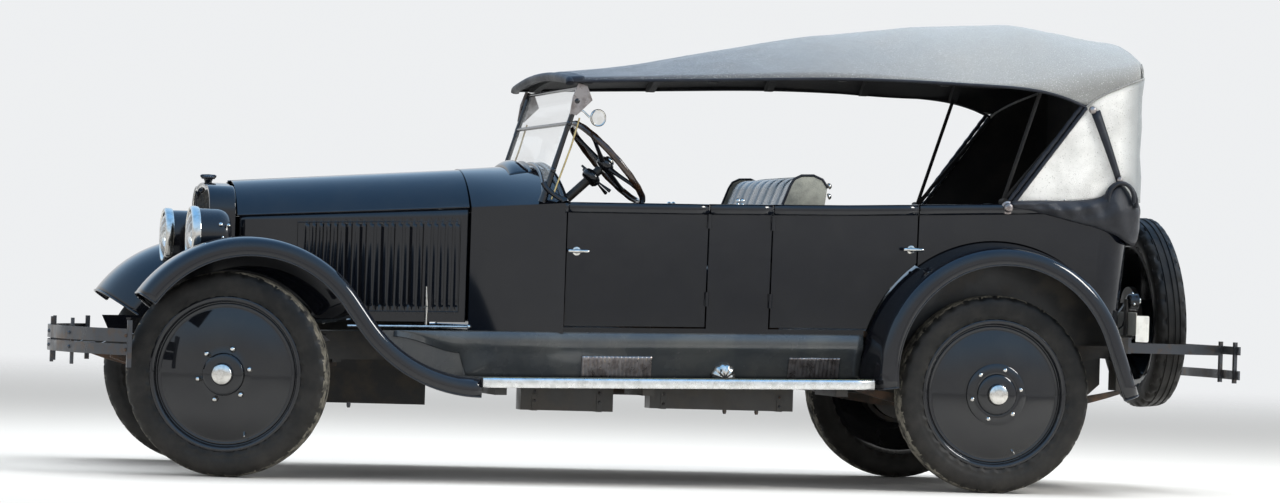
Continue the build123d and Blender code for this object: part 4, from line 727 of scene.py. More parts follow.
def make_wheel(tag, place, body, tyre_node, disc_node, rear=False):
    name = "wheel_" + tag
    held = {"body": body, "place": place}
    full = TYRE_PROFILE + [(r, -y) for r, y in reversed(TYRE_PROFILE)]
    tyre = lathe("tyre_" + tag + "_rubber", full, RUBBER, turns=216, shape=tread, stands_for=tyre_node,
                 crease=50, **held)
    if body != "chassis":
        wear_tread(tyre, place)
    lathe(name + "_disc", DISC_PROFILE, WHEEL_PAINT, turns=128, stands_for=disc_node, crease=50, **held)
    lathe(name + "_flange", HUB_FLANGE, WHEEL_PAINT, turns=72, crease=40, **held)
    lathe(name + "_cap", CAP_PROFILE, NICKEL, turns=72, crease=40, **held)
    if rear:
        ring(name + "_plate", REAR_PLATE, WHEEL_PAINT, turns=96, crease=40, **held)
        ring(name + "_drum", BRAKE_DRUM, IRON, turns=96, crease=40, **held)
    turns = [math.radians(60.0 * i + 12) for i in range(NUT_COUNT)]
    nuts = [nut_parts((NUT_CIRCLE * math.cos(a), NUT_CIRCLE * math.sin(a))) for a in turns]
    put(name + "_nuts", *joined(nuts), NICKEL, crease=30, **held)
    a = math.radians(VALVE_ANGLE)
    foot = Vector((250 * math.cos(a), -36, 250 * math.sin(a))) / 1000.0
    tip = Vector((268 * math.cos(a), -58, 268 * math.sin(a))) / 1000.0
    tubes(name + "_valve", [[foot, foot.lerp(tip, 0.6), tip]], [5, 4.4, 3.4], NICKEL, **held)


for side_name, side in SIDES:
    for end, d in (("front_", 0), ("rear_", WHEELBASE)):
        tag = end + side_name
        make_wheel(tag, wheel_place(d, side, d == 0), "wheel_" + tag, "tyre_" + tag, "disc_" + tag,
                   rear=d > 0)
spare_place = Matrix.Translation(P(SPARE_D, 0, SPARE_Z)) @ turned(-SPARE_LEAN, "Y") @ turned(90, "Z")
make_wheel("spare", spare_place, "chassis", "spare_tyre", "spare_disc")


# Fenders

SHEET = 4.0
FF_CENTRE = (32.0, 438.0)
FF_R = 548.0
FF_TIP = 146.0
FF_SLOPE = 54.0
BOARD_FRONT = 1000.0
BOARD_REAR = 2685.0
BOARD_TOP = 412.0
VALANCE_Y = 440.0
RF_CENTRE = (3265.0, 500.0)
RF_R = 548.0
RF_FRONT = 187.0
RF_LEAVE = 20.0
WHEELHOUSE_Y = 620.0
WHEELHOUSE_LOW = 640.0
REAR_FENDER_LOW = 437.0
EDGE_Y, EDGE_V = 866, -73      # where the bead runs along a fender's lip


def front_path():
    """Points of d, z, direction angle and share of the way past the arc, along the front fender's crown."""
    slope = math.radians(FF_SLOPE)
    end = 90 - FF_SLOPE
    count = 44
    turns = steps(FF_TIP, end, count)
    arch = arc(FF_CENTRE, FF_R, FF_TIP, end, count)
    out = [(x, z, math.radians(a) - math.pi / 2, 0.0) for (x, z), a in zip(arch, turns)]
    ex, ez = out[-1][:2]
    bx = BOARD_FRONT
    bz = BOARD_TOP + RAKE * BOARD_FRONT
    r2 = (bz - ez + math.tan(slope) * (bx - ex)) / (1 / math.cos(slope) - 1)
    sx = bx - r2 * math.sin(slope)
    sz = bz + r2 * (1 - math.cos(slope))
    for t in steps(0, 1, 8)[1:]:
        out.append((mix(ex, sx, t), mix(ez, sz, t), -slope, t * 0.6))
    for t in steps(0, 1, 16)[1:]:
        a = slope * (1 - t)
        out.append((bx - r2 * math.sin(a), bz + r2 * (1 - math.cos(a)), -a, 0.6 + 0.4 * t))
    return out


def rear_path():
    """Points of d, z and direction angle along the rear fender's crown and its straight tail."""
    count = 48
    turns = steps(RF_FRONT, RF_LEAVE, count)
    arch = arc(RF_CENTRE, RF_R, RF_FRONT, RF_LEAVE, count)
    out = [(x, z, math.radians(a) - math.pi / 2) for (x, z), a in zip(arch, turns)]
    x, z, a = out[-1]
    drop = (z - REAR_FENDER_LOW) / math.cos(math.radians(RF_LEAVE))
    for t in steps(0, 1, 5)[1:]:
        out.append((x + math.cos(a) * drop * t, z + math.sin(a) * drop * t, a))
    return out


FF_SECTION = [
    (-866, -74), (-869, -60), (-869.5, -42), (-867, -26), (-860, -14), (-846, -5), (-824, 0), (-790, 3),
    (-740, 4), (-690, 1), (-645, -6), (-600, -20), (-562, -40), (-528, -66), (-498, -96), (-470, -132),
    (-441, -182),
]
FF_FLAT = FF_SECTION[:8] + [
    (-740, 5), (-690, 6), (-645, 6), (-600, 5), (-562, 4), (-528, 2.5), (-498, 1), (-470, 0),
    (-441, -2),
]
RF_SECTION = [
    (-866, -74), (-869, -60), (-869.5, -42), (-867, -25), (-859, -12), (-846, -3), (-822, 3), (-785, 9),
    (-740, 16), (-700, 22), (-670, 27), (-645, 29), (-622, 30),
]


def carried(point, y, v):
    """A point of a fender's section, set square to the fender's path."""
    d, z, a = point[:3]
    return P(d - math.sin(a) * v, y, z + math.cos(a) * v)


def make_fenders():
    for tag, side in SIDES:
        path = front_path()
        rows = []
        for p in path:
            t = ease(p[3])
            rows.append([
                carried(p, -side * mix(a[0], b[0], t), mix(a[1], b[1], min(1.0, t * 1.6)))
                for a, b in zip(FF_SECTION, FF_FLAT)
            ])
        skin("front_fender_" + tag, rows, PAINT, thick=3.0 * side, centred=False,
             stands_for="front_fenders", crease=60)
        edge = [carried(p, side * EDGE_Y, EDGE_V) for p in path]
        tip = [carried(path[0], -side * y, v) for y, v in FF_SECTION]
        tubes("front_fender_bead_" + tag, [edge, tip], 4.5, PAINT, sides=8)
        inner = side * VALANCE_Y
        arch = arc(FF_CENTRE, FF_R + FF_SECTION[-1][1], FF_TIP, 90 - FF_SLOPE, 28)
        low = [(430, 566), (-250, 562), (-400, 575), (-430, 640)]
        prisms("front_valance_" + tag, [side_plate(arch + low, inner - side * SHEET, inner)], PAINT,
               crease=30)
        path = rear_path()
        rows = [[carried(p, -side * y, v) for y, v in RF_SECTION] for p in path]
        skin("rear_fender_" + tag, rows, PAINT, thick=3.0 * side, centred=False,
             stands_for="rear_fenders", crease=60)
        edge = [carried(p, side * EDGE_Y, EDGE_V) for p in path]
        tubes("rear_fender_bead_" + tag, [edge, rows[-1], rows[0]], 4.5, PAINT, sides=8)
        radius = RF_R + 28
        foot = math.degrees(math.asin((WHEELHOUSE_LOW - RF_CENTRE[1]) / radius))
        arch = arc(RF_CENTRE, radius, 180 - foot, foot, 36)
        house = side * WHEELHOUSE_Y
        prisms("wheelhouse_" + tag, [side_plate(arch, house, house + side * SHEET)], CHASSIS, crease=30)


make_fenders()


# Lines of the body that the trim follows

BODY_FRONT_D = 1395.0
FRONT_DOOR_REAR = 2005.0
REAR_DOOR_FRONT = 2279.0
REAR_DOOR_REAR = 2914.0
BODY_BACK_D = 3900.0
BODY_HALF_FRONT = 600.0
BODY_HALF = 700.0
CORNER_R = 170.0
HULL_LOW = 560.0
HULL_HIGH = 1300.0
TUMBLE = 25.0
DOOR_GAP = 7.0
BELT = [(1395, 1177), (1950, 1187), (2610, 1204), (3280, 1232), (4060, 1267.75)]


def side_face(d, z):
    """Half width of the body's outer face at a place and height."""
    share = min(1.0, (d - BODY_FRONT_D) / (REAR_DOOR_REAR - BODY_FRONT_D))
    half = mix(BODY_HALF_FRONT, BODY_HALF, share)
    return half - TUMBLE * (HULL_HIGH - z) / (HULL_HIGH - HULL_LOW)


def belt_z(d):
    return line_at(BELT, d)


# Splash aprons, running boards and their fittings

APRON_LINE = [(1000, 444), (1350, 579), (2685, 616)]      # outer face of the apron's wall
ROLL = [(0, 2), (9, 1), (17, -4), (23, -12), (27, -24), (29, -38), (28, -52), (24, -68)]
ROLL_START = 700.0
KICK_PLATES = [(1479, 1781), (2372, 2594)]
KICK_HIGH = 88.0
MAT_PITCH = 8.8      # from one rib of the mat to the next
MAT_WIDTH = 212.0
MAT_EDGE = 848.0
STEP_LAMP_D = 2092.0
STEP_LAMP_HALF = 54.0
STEP_LAMP_H = 64.0


def board_z(d):
    return BOARD_TOP + RAKE * d


def roll_base(d):
    """Half width where the apron's roll begins, under the body or along the wall in front of it."""
    wall = line_at(APRON_LINE, max(d, 1000)) - 5
    if d < 1300:
        return wall
    return mix(wall, side_face(d, 600) - 8, ease((d - 1300) / 200))


def apron_face(d, z):
    """Half width of the apron's face between its roll and the board."""
    top = FRAME_TOP + RAKE * d + 4 + ROLL[-1][1]
    low = board_z(d) + 3
    share = min(1.0, max(0.0, (top - z) / (top - low)))
    return mix(roll_base(d) + ROLL[-1][0], line_at(APRON_LINE, max(d, 1000)) + 1.5, share ** 0.7)


def make_aprons():
    for tag, side in SIDES:
        rows = []
        for d in steps(ROLL_START, BOARD_REAR, 70):
            grow = ease((d - ROLL_START) / 300)
            top = FRAME_TOP + RAKE * d + 4
            row = [P(d, side * (roll_base(d) + o * grow), top + v * grow) for o, v in ROLL]
            low = board_z(d) + 3 if d > 1000 else top + ROLL[-1][1] * grow - 26
            high = top + ROLL[-1][1] * grow
            for t in steps(0, 1, 8)[1:]:
                z = mix(high, low, t)
                y = apron_face(d, z) if d > 1000 else mix(roll_base(d) + ROLL[-1][0] * grow, 445.5, t)
                row.append(P(d, side * y, z))
            rows.append(row)
        skin("apron_face_" + tag, rows, APRON_DUST_AND_PAINTED_REFLECTION, thick=1.5, crease=50)
        for number, (d0, d1) in enumerate(KICK_PLATES):
            rows = []
            for i, d in enumerate(steps(d0, d1, int((d1 - d0) / 4.4))):
                out = 7.0 if i % 4 in (1, 2) else 3.0
                low = board_z(d) + 5
                row = []
                for z in steps(low, low + KICK_HIGH, 12):
                    fade = min(1.0, (z - low + 6) / 8, (low + KICK_HIGH + 6 - z) / 8)
                    row.append(P(d, side * (apron_face(d, z) + out * fade), z))
                rows.append(row)
            skin("kick_plate_" + str(number + 1) + "_" + tag, rows, KICK, thick=1.2, crease=60)
        low = board_z(STEP_LAMP_D) + 2
        rows = []
        for i in range(9):
            a = math.pi / 2 * i / 8
            row = []
            for j in range(25):
                b = math.pi * j / 24
                rib = 1.0 + (0.05 if j % 4 in (1, 2) and i < 7 else 0.0)
                d = STEP_LAMP_D + STEP_LAMP_HALF * math.cos(b) * math.cos(a) * rib
                z = low + STEP_LAMP_H * math.sin(b) * math.cos(a) * rib
                row.append(P(d, side * (apron_face(d, z) + 2 + 44 * math.sin(a) * rib), z))
            rows.append(row)
        skin("step_lamp_" + tag, rows, NICKEL, thick=1.5, crease=60)
        face_y = apron_face(STEP_LAMP_D, low + 24)
        slots = []
        for i in range(3):
            d = STEP_LAMP_D - 22 + 16 * i
            slots.append(brick(d, d + 7, side * (face_y + 24), side * (face_y + 42), low + 12, low + 40))
        prisms("step_lamp_slots_" + tag, slots, CHASSIS, crease=30)


def make_boards():
    for tag, side in SIDES:
        section = []
        y = 0.0
        while y < MAT_WIDTH:
            section += [(y, 0.5), (y + 2.2, 3.4), (y + 5.2, 3.4), (y + 7.4, 0.5)]
            y += MAT_PITCH
        rows = []
        for d in steps(1012, BOARD_REAR - 6, 24):
            inner = max(line_at(APRON_LINE, d) + 10, 636 - (BOARD_REAR - d) * 0.02)
            share = (MAT_EDGE - inner) / section[-1][0]
            rows.append([P(d, side * (inner + o * share), board_z(d) + v) for o, v in section])
        skin("board_mat_" + tag, rows, MAT, crease=20)
        trim = [(846, 0.5), (848, 4.5), (868, 4.8), (873, 2.0), (874.5, -4), (874.5, -29), (872, -34),
                (864, -35)]
        rows = [[P(d, side * o, board_z(d) + v) for o, v in trim] for d in steps(1004, BOARD_REAR + 1, 20)]
        skin("board_edge_" + tag, rows, ALUMINIUM, thick=1.6, crease=50)
        line = [P(d, side * 846, board_z(d) + 4) for d in steps(1006, BOARD_REAR, 12)]
        tubes("board_bead_" + tag, [line], 3.2, BRASS, sides=8)
        back = [P(BOARD_REAR - 2, side * y, board_z(BOARD_REAR) + 3) for y in steps(628, 868, 8)]
        tubes("board_end_" + tag, [back], 4.0, ALUMINIUM, sides=8)


make_aprons()
make_boards()


# Rolled belt of the body and doors

BELT_ROLL = [
    (-40, -30), (-40, -3), (-35, 3), (-22, 5), (-7, 4.5), (2, 2), (7, -4), (9, -13), (8, -24), (5, -33),
    (0.8, -40),
]
TRIM_LOW = 690.0
TRIM_ARCH_R = 618.0


def belt_roll(name, d0, d1, side, body):
    rows = []
    for d in steps(d0, d1, max(3, int((d1 - d0) / 60))):
        z = belt_z(d)
        rows.append([P(d, side * (side_face(d, z) + o), z + v) for o, v in BELT_ROLL])
    return skin(name, rows, PAINT, thick=1.5, body=body, crease=60)


def make_handle(name, d, z, side, body):
    """A T-handle on its rose, standing out from the door."""
    y = side_face(d, z)
    rose = [P(d, side * (y + o), z) for o in (-1, 3, 6)]
    stem = [P(d, side * (y + o), z) for o in (2, 14, 30, 42)]
    grip = []
    for o in (-44, -38, -26, -12, 0, 12, 26, 38, 44):
        grip.append(P(d + o, side * (y + 42 + 2 * math.cos(o / 40 * 1.4)), z))
    items = [(rose, [19, 18, 9], 20), (stem, [12, 8.5, 8.5, 10], 14),
             (grip, [5, 8, 7, 7.5, 9, 7.5, 7, 8, 5], 14)]
    bars(name, items, NICKEL, body=body, crease=50)


def door_trim(name, d0, d1, side, body, arched):
    """The lined panel inside a door, cut round the rear wheel's arch where it is arched."""
    belt = [(d1, belt_z(d1) - 34), (d0, belt_z(d0) - 34)]
    outline = [(d0, TRIM_LOW), (d1, TRIM_LOW)] + belt
    if arched:
        cut = [(d, z) for d, z in arc(RF_CENTRE, TRIM_ARCH_R, 164, 134, 12) if d < d1 and z > TRIM_LOW]
        outline = [(d0, TRIM_LOW), (cut[0][0], TRIM_LOW)] + cut + [(d1, cut[-1][1])] + belt
    rows = [[P(d, side * (side_face(d, z) - depth), z) for d, z in outline] for depth in (39.0, 42.0)]
    skin(name, rows, TRIM, closed_row=True, caps=True, body=body, crease=30)


def make_belt():
    half_gap = DOOR_GAP / 2
    for tag, side in SIDES:
        front, rear = "door_front_" + tag, "door_rear_" + tag
        belt_roll("belt_front_door_" + tag, BODY_FRONT_D + DOOR_GAP, FRONT_DOOR_REAR - half_gap, side,
                  front)
        belt_roll("belt_post_" + tag, FRONT_DOOR_REAR + half_gap, REAR_DOOR_FRONT - half_gap, side,
                  "chassis")
        belt_roll("belt_rear_door_" + tag, REAR_DOOR_FRONT + half_gap, REAR_DOOR_REAR - DOOR_GAP, side,
                  rear)
        belt_roll("belt_quarter_" + tag, REAR_DOOR_REAR, BODY_BACK_D - CORNER_R, side, "chassis")
        make_handle("handle_front_" + tag, BODY_FRONT_D + 48, 976, side, front)
        make_handle("handle_rear_" + tag, REAR_DOOR_REAR - 32, 1028, side, rear)
        door_trim("door_trim_front_" + tag, BODY_FRONT_D + 30, FRONT_DOOR_REAR - 26, side, front, False)
        door_trim("door_trim_rear_" + tag, REAR_DOOR_FRONT + 26, REAR_DOOR_REAR - 30, side, rear, True)
        knobs = []
        for d in (2130, 2150):
            z = belt_z(d) + 26
            for drop, radius in ((22, 9), (6, 11)):
                knobs.append((P(d, side * (side_face(d, z) - 24), z - drop), radius, (0, 0, 1)))
        domes("post_knobs_" + tag, knobs, NICKEL, crease=40)
    back = []
    for a in steps(0, math.pi / 2, 6):
        back.append((BODY_BACK_D + 5 - CORNER_R + CORNER_R * math.sin(a),
                     698 - CORNER_R + CORNER_R * math.cos(a), a))
    path = back + [(d, -y, math.pi - a) for d, y, a in reversed(back)]
    rows = []
    for d, y, a in path:
        high = belt_z(d)
        rows.append([P(d + math.sin(a) * o, y + math.cos(a) * o, high + v) for o, v in BELT_ROLL])
    skin("belt_back", rows, PAINT, thick=1.5, crease=60)


make_belt()


# Bonnet side leaves with pressed louvres

HOOD_FRONT_D = 46.0
HOOD_REAR_D = 1024.0
LEAF_FRONT = 54.0
LEAF_REAR = 1021.0
HOOD_HALF_FRONT = 285.0
HOOD_HALF_REAR = 360.0
CREASE_FRONT = 1083.0
CREASE_REAR = 1150.0
HOOD_BASE = 640.0
LOUVRES = 22
LOUVRE_FIRST = 330.0
LOUVRE_LAST = 965.0
LOUVRE_LOW = 705.0
LOUVRE_HIGH = 1045.0
LOUVRE_W = 17.0
LOUVRE_OUT = 8.5
LOUVRE_END = 14.0


def hood_half(d):
    return mix(HOOD_HALF_FRONT, HOOD_HALF_REAR, (d - HOOD_FRONT_D) / (HOOD_REAR_D - HOOD_FRONT_D))


def crease_z(d):
    return mix(CREASE_FRONT, CREASE_REAR, (d - HOOD_FRONT_D) / (HOOD_REAR_D - HOOD_FRONT_D))


def louvre_lift(u, depth):
    """How far a louvre stands out, u along it from its front, depth in from its nearer end."""
    if u <= 0 or u >= LOUVRE_W + 4 or depth <= 0:
        return 0.0
    end = math.sqrt(1 - (1 - min(1.0, depth / LOUVRE_END)) ** 2)
    if u <= LOUVRE_W:
        return LOUVRE_OUT * math.sin(math.pi / 2 * u / LOUVRE_W) * end
    return -5.0 * end


def make_bonnet_sides():
    pitch = (LOUVRE_LAST - LOUVRE_FIRST) / (LOUVRES - 1)
    places = steps(LEAF_FRONT, LOUVRE_FIRST - 4, 8)
    for i in range(LOUVRES):
        start = LOUVRE_FIRST + pitch * i
        places += [start + u for u in (0, 2, 5, 9, 13, LOUVRE_W, LOUVRE_W + 0.4, LOUVRE_W + 3.4,
                                       LOUVRE_W + 4)]
    places += steps(LOUVRE_LAST + pitch, LEAF_REAR, 3)
    for tag, side in SIDES:
        rows = []
        for d in places:
            rise = RAKE * d
            low, high = LOUVRE_LOW + rise, LOUVRE_HIGH + rise * 1.5
            base, top = HOOD_BASE + rise, crease_z(d) - 5.3
            levels = [base, base + 2, mix(base, low, 0.5), low - 1]
            levels += [low + v for v in (0.5, 2, 5, 9, LOUVRE_END)]
            levels += steps(low + 40, high - 40, 5)
            levels += [high - v for v in (LOUVRE_END, 9, 5, 2, 0.5)]
            levels += [high + 1, mix(high, top, 0.5), top]
            number = min(LOUVRES - 1, max(0, int((d - LOUVRE_FIRST + 1e-6) / pitch)))
            u = d - LOUVRE_FIRST - pitch * number
            row = []
            for z in levels:
                lift = louvre_lift(u, min(z - low, high - z))
                row.append(P(d, side * (hood_half(d) - 5 + lift), z))
            rows.append(row)
        skin("bonnet_side_" + tag + "_louvred", rows, PAINT, thick=2.4, body="bonnet_side_" + tag,
             stands_for="bonnet_side_" + tag, crease=42)
        frame_line = [(300, 690), (990, 704), (990, 1088), (300, 1062)]
        bead = [P(d, side * (hood_half(d) - 3.4), z) for d, z in frame_line]
        tubes("bonnet_bead_" + tag, [bead], 2.2, PAINT, sides=8, closed=True, body="bonnet_side_" + tag)
        latches = []
        for d in (420, 853):
            y = side * (hood_half(d) + 6)
            z = HOOD_BASE + RAKE * d
            pull = []
            for ahead, out, rise in ((0, 0, -12), (0, 0, 30), (0, 3, 70), (2, 0, 120), (3, 0, 150)):
                pull.append(P(d - ahead, y + side * out, z + rise))
            foot_y = side * (hood_half(d) - 2)
            bow = [P(d - 12, foot_y, z + 62), P(d, y + side * 9, z + 66), P(d + 12, foot_y, z + 62)]
            latches += [(pull, [6, 5, 7.5, 4.5, 3.5], 10), (bow, 3.5, 10)]
        bars("bonnet_latches_" + tag, latches, NICKEL, body="bonnet_side_" + tag, crease=60)
        ledge = [P(d, side * (hood_half(d) + 10), HOOD_BASE + RAKE * d - 19) for d in steps(520, 1034, 10)]
        tubes("bonnet_ledge_" + tag, [ledge], 5.5, ALUMINIUM, sides=10)
        domes("bonnet_ledge_knob_" + tag, [(ledge[-1], 10, (0, side, 0.3))], NICKEL)


make_bonnet_sides()


# Radiator shell, cap and core

SHELL_HALF = 288.0
SHELL_TOP = 1222.0
FILLER_D = -45.0
SHELL_EDGE = [      # place along the car, inset from the outline
    (-46, 30), (-58, 27), (-66, 21), (-72, 14), (-75, 8), (-73.5, 2.5), (-68, 0.4), (-40, 0), (0, 0),
    (26, 0), (33, 0.8), (37, 3), (38, 7), (35, 12), (-40, 14), (-46, 18),
]


def arc_points(p, q, r, count):
    """Points along the circle through three points of a plane."""
    (ax, ay), (bx, by), (cx, cy) = p, q, r
    aa, bb, cc = ax * ax + ay * ay, bx * bx + by * by, cx * cx + cy * cy
    d = 2 * (ax * (by - cy) + bx * (cy - ay) + cx * (ay - by))
    ux = (aa * (by - cy) + bb * (cy - ay) + cc * (ay - by)) / d
    uy = (aa * (cx - bx) + bb * (ax - cx) + cc * (bx - ax)) / d
    radius = math.hypot(ax - ux, ay - uy)
    a0 = math.atan2(ay - uy, ax - ux)
    a1 = math.atan2(cy - uy, cx - ux)
    mid = math.atan2(by - uy, bx - ux)
    turn = (a1 - a0) % (2 * math.pi)
    if (mid - a0) % (2 * math.pi) > turn:
        turn -= 2 * math.pi
    return [(ux + radius * math.cos(a0 + turn * i / count), uy + radius * math.sin(a0 + turn * i / count))
            for i in range(count + 1)]


def shell_outline(inset):
    """The radiator's outline as y and z, from its lower left corner round to its lower right one."""
    w = SHELL_HALF - inset
    top = SHELL_TOP - inset
    shoulder = CREASE_FRONT
    low = FRAME_TOP + inset
    knee = (w * 0.86, top - (top - shoulder) * 0.3)
    brow = (w * 0.5, top - 16)
    left = [(-w, z) for z in steps(low, shoulder - 20, 6)]
    left += arc_points((-w, shoulder), (-knee[0], knee[1]), (-brow[0], brow[1]), 12)
    crown = arc_points((-brow[0], brow[1]), (0, top), brow, 12)[1:-1]
    right = [(-y, z) for y, z in reversed(left)]
    return left + crown + right


def cap_ribs(i, _, r, y):
    """Cuts the grips round the radiator's cap."""
    return r - 2.2 if 20 < y < 33 and r > 26 and i % 3 == 0 else r


def make_radiator():
    rings = [[P(d, y, z) for y, z in shell_outline(inset)] for d, inset in SHELL_EDGE]
    rows = [list(ring) for ring in zip(*rings)]
    skin("radiator_shell_dressed", rows, PAINT, closed_row=True, closed_ring=True,
         stands_for="radiator_shell", crease=50)
    rim = [P(-68, y, z) for y, z in shell_outline(17)]
    tubes("radiator_rim", [rim], 5.5, NICKEL, sides=10, closed=True)
    neck = [(13, -8), (15, 0), (16, 10), (19, 14), (19, 20), (0, 20)]
    cap = [(0, 18), (27, 18), (30, 21), (30.5, 27), (29, 32), (22, 36), (11, 39), (9, 44), (0, 45)]
    up = Matrix.Translation(P(FILLER_D, 0, SHELL_TOP - 4)) @ turned(90, "X")
    lathe("radiator_neck", neck, PAINT, turns=40, place=up, crease=50)
    cap = [(r * 0.97, y * 0.78 + 4) for r, y in cap]
    lathe("radiator_cap", cap, CAP_BLACK, turns=60, shape=cap_ribs, place=up, crease=50)
    wing = [P(FILLER_D + o, 0, SHELL_TOP + 25 + 5 * math.cos(o / 22)) for o in (-34, -26, -12, 0, 12, 26,
                                                                                34)]
    tubes("radiator_cap_wings", [wing], [5, 7, 5, 5, 5, 7, 5], CAP_BLACK, sides=12)
    fins = []
    for i in range(41):
        y = -250 + 12.5 * i
        high = max(z for yy, z in shell_outline(34) if abs(yy) >= min(abs(y), 252) - 8) - 4
        fins.append([P(-53, y, FRAME_TOP + 30), P(-53, y, high)])
    tubes("radiator_fins", fins, 2.2, CORE, sides=6)


make_radiator()


# Headlamps on their bar

LAMP_Y = 430.0
LAMP_Z = 993.0
LAMP_BAR_D = -95.0
LAMP_BAR_Z = 861.0
LAMP_KNOB_R = 110.5      # how far the drum's knobs stand from its axis
DRUM = [
    (102, -160), (108, -162), (111, -150), (111.6, -110), (111.6, -62), (109, -46), (103, -32),
    (93, -19), (78, -11), (56, -6), (30, -3.5), (0, -3),
]
RIM = [
    (101, -158), (101, -168), (105, -175), (111, -178.5), (117, -176), (120.5, -169), (121, -158),
    (120, -146), (117.5, -142), (111, -142), (110, -152),
]
REFLECTOR = [(103, -160), (100, -140), (92, -112), (78, -86), (60, -67), (38, -54), (14, -48), (0, -47)]
LAMP_GLASS = [(0, -189), (30, -187.5), (58, -183), (82, -176), (98, -168), (104, -163), (104, -160)]


def make_lamps():
    for tag, side in SIDES:
        place = Matrix.Translation(P(0, side * LAMP_Y, LAMP_Z)) @ turned(-90, "Z")
        lathe("lamp_drum_" + tag, DRUM, LAMP_PAINT, turns=80, place=place, stands_for="headlamps",
              crease=50)
        ring("lamp_rim_" + tag, RIM, NICKEL, turns=80, place=place, crease=50)
        lathe("lamp_reflector_" + tag, REFLECTOR, MIRROR, turns=64, place=place, crease=60)
        lathe("lamp_lens_" + tag, LAMP_GLASS, LENS, turns=64, place=place, stands_for="headlamp_lenses",
              crease=70)
        bulb = [(0, -128), (9, -126), (15, -118), (16, -108), (12, -98), (8, -90), (8, -60), (0, -60)]
        lathe("lamp_bulb_" + tag, bulb, LENS, turns=24, place=place, crease=60)
        knobs = []
        for d, z, r in ((-59, 44, 10), (-27, 41, 9), (-50, -8, 6), (-59, 44, 10)):
            y = math.sqrt(LAMP_KNOB_R ** 2 - z * z)
            for way in (1, -1):
                knobs.append((P(d, side * (LAMP_Y + way * y), LAMP_Z + z), r, (0, way * side * y, z)))
        domes("lamp_knobs_" + tag, knobs, NICKEL, crease=60)
        foot = [P(LAMP_BAR_D, side * 412, LAMP_BAR_Z), P(LAMP_BAR_D, side * 422, LAMP_BAR_Z + 12),
                P(LAMP_BAR_D, side * 430, LAMP_BAR_Z + 26)]
        tubes("lamp_foot_" + tag, [foot], [17, 15, 24], CHASSIS, sides=20, crease=60)
        post = [P(LAMP_BAR_D, side * 360, z) for z in (599, 606, 612, 640, 760, LAMP_BAR_Z)]
        tubes("lamp_post_" + tag, [post], [24, 24, 15, 13, 12, 13], CHASSIS, sides=20, crease=40)
        rope = [P(LAMP_BAR_D + 26, side * 400, LAMP_BAR_Z - 10),
                P(LAMP_BAR_D + 44, side * 404, LAMP_Z - 90),
                P(-20, side * 418, LAMP_Z - 40), P(-6, side * 430, LAMP_Z - 30)]
        tubes("lamp_lead_" + tag, [rope], 5, CHASSIS, sides=8)
    bow = [P(LAMP_BAR_D, y, LAMP_BAR_Z) for y in steps(-436, 436, 16)]
    tubes("lamp_bar", [bow], 12, CHASSIS, sides=18, crease=50)
    domes("lamp_bar_ends", [(P(LAMP_BAR_D, s * 424, LAMP_BAR_Z), 14, (0, s, 0)) for s in (-1, 1)], CHASSIS)


make_lamps()


# Windshield, its brackets, mirror and glass

COWL_D = 1032.0
COWL_FRONT = (366.0, 1150.0, 1318.0)      # half width, height of its crease and of its crown
COWL_REAR = (598.0, 1177.0, 1352.0)
LEAN = math.radians(17.2)
SCREEN_D = 1308.0
SCREEN_Z = 1200.0
SCREEN_HALF = 532.0
SCREEN_TOP = 500.0
SCREEN_SPLIT = 330.0


def cowl_top(d, y):
    """Height of the cowl's top at a place and side."""
    share = (d - COWL_D) / (BODY_FRONT_D - COWL_D)
    half, crease, crown = (mix(a, b, share) for a, b in zip(COWL_FRONT, COWL_REAR))
    rise = crown - crease
    radius = (half * half + rise * rise) / (2 * rise)
    return crown - radius + math.sqrt(radius * radius - min(abs(y), half) ** 2)


def screen_foot(y, clear):
    """Height along the lean at which the windshield stands clear of the cowl's top."""
    return (cowl_top(SCREEN_D + 20, y) - SCREEN_Z) / math.cos(LEAN) + clear


def S(y, h, ahead=0.0):
    """A point of the windshield's plane: side, height along the lean and how far in front it lies."""
    return P(SCREEN_D + h * math.sin(LEAN) - ahead * math.cos(LEAN), y,
             SCREEN_Z + h * math.cos(LEAN) + ahead * math.sin(LEAN))


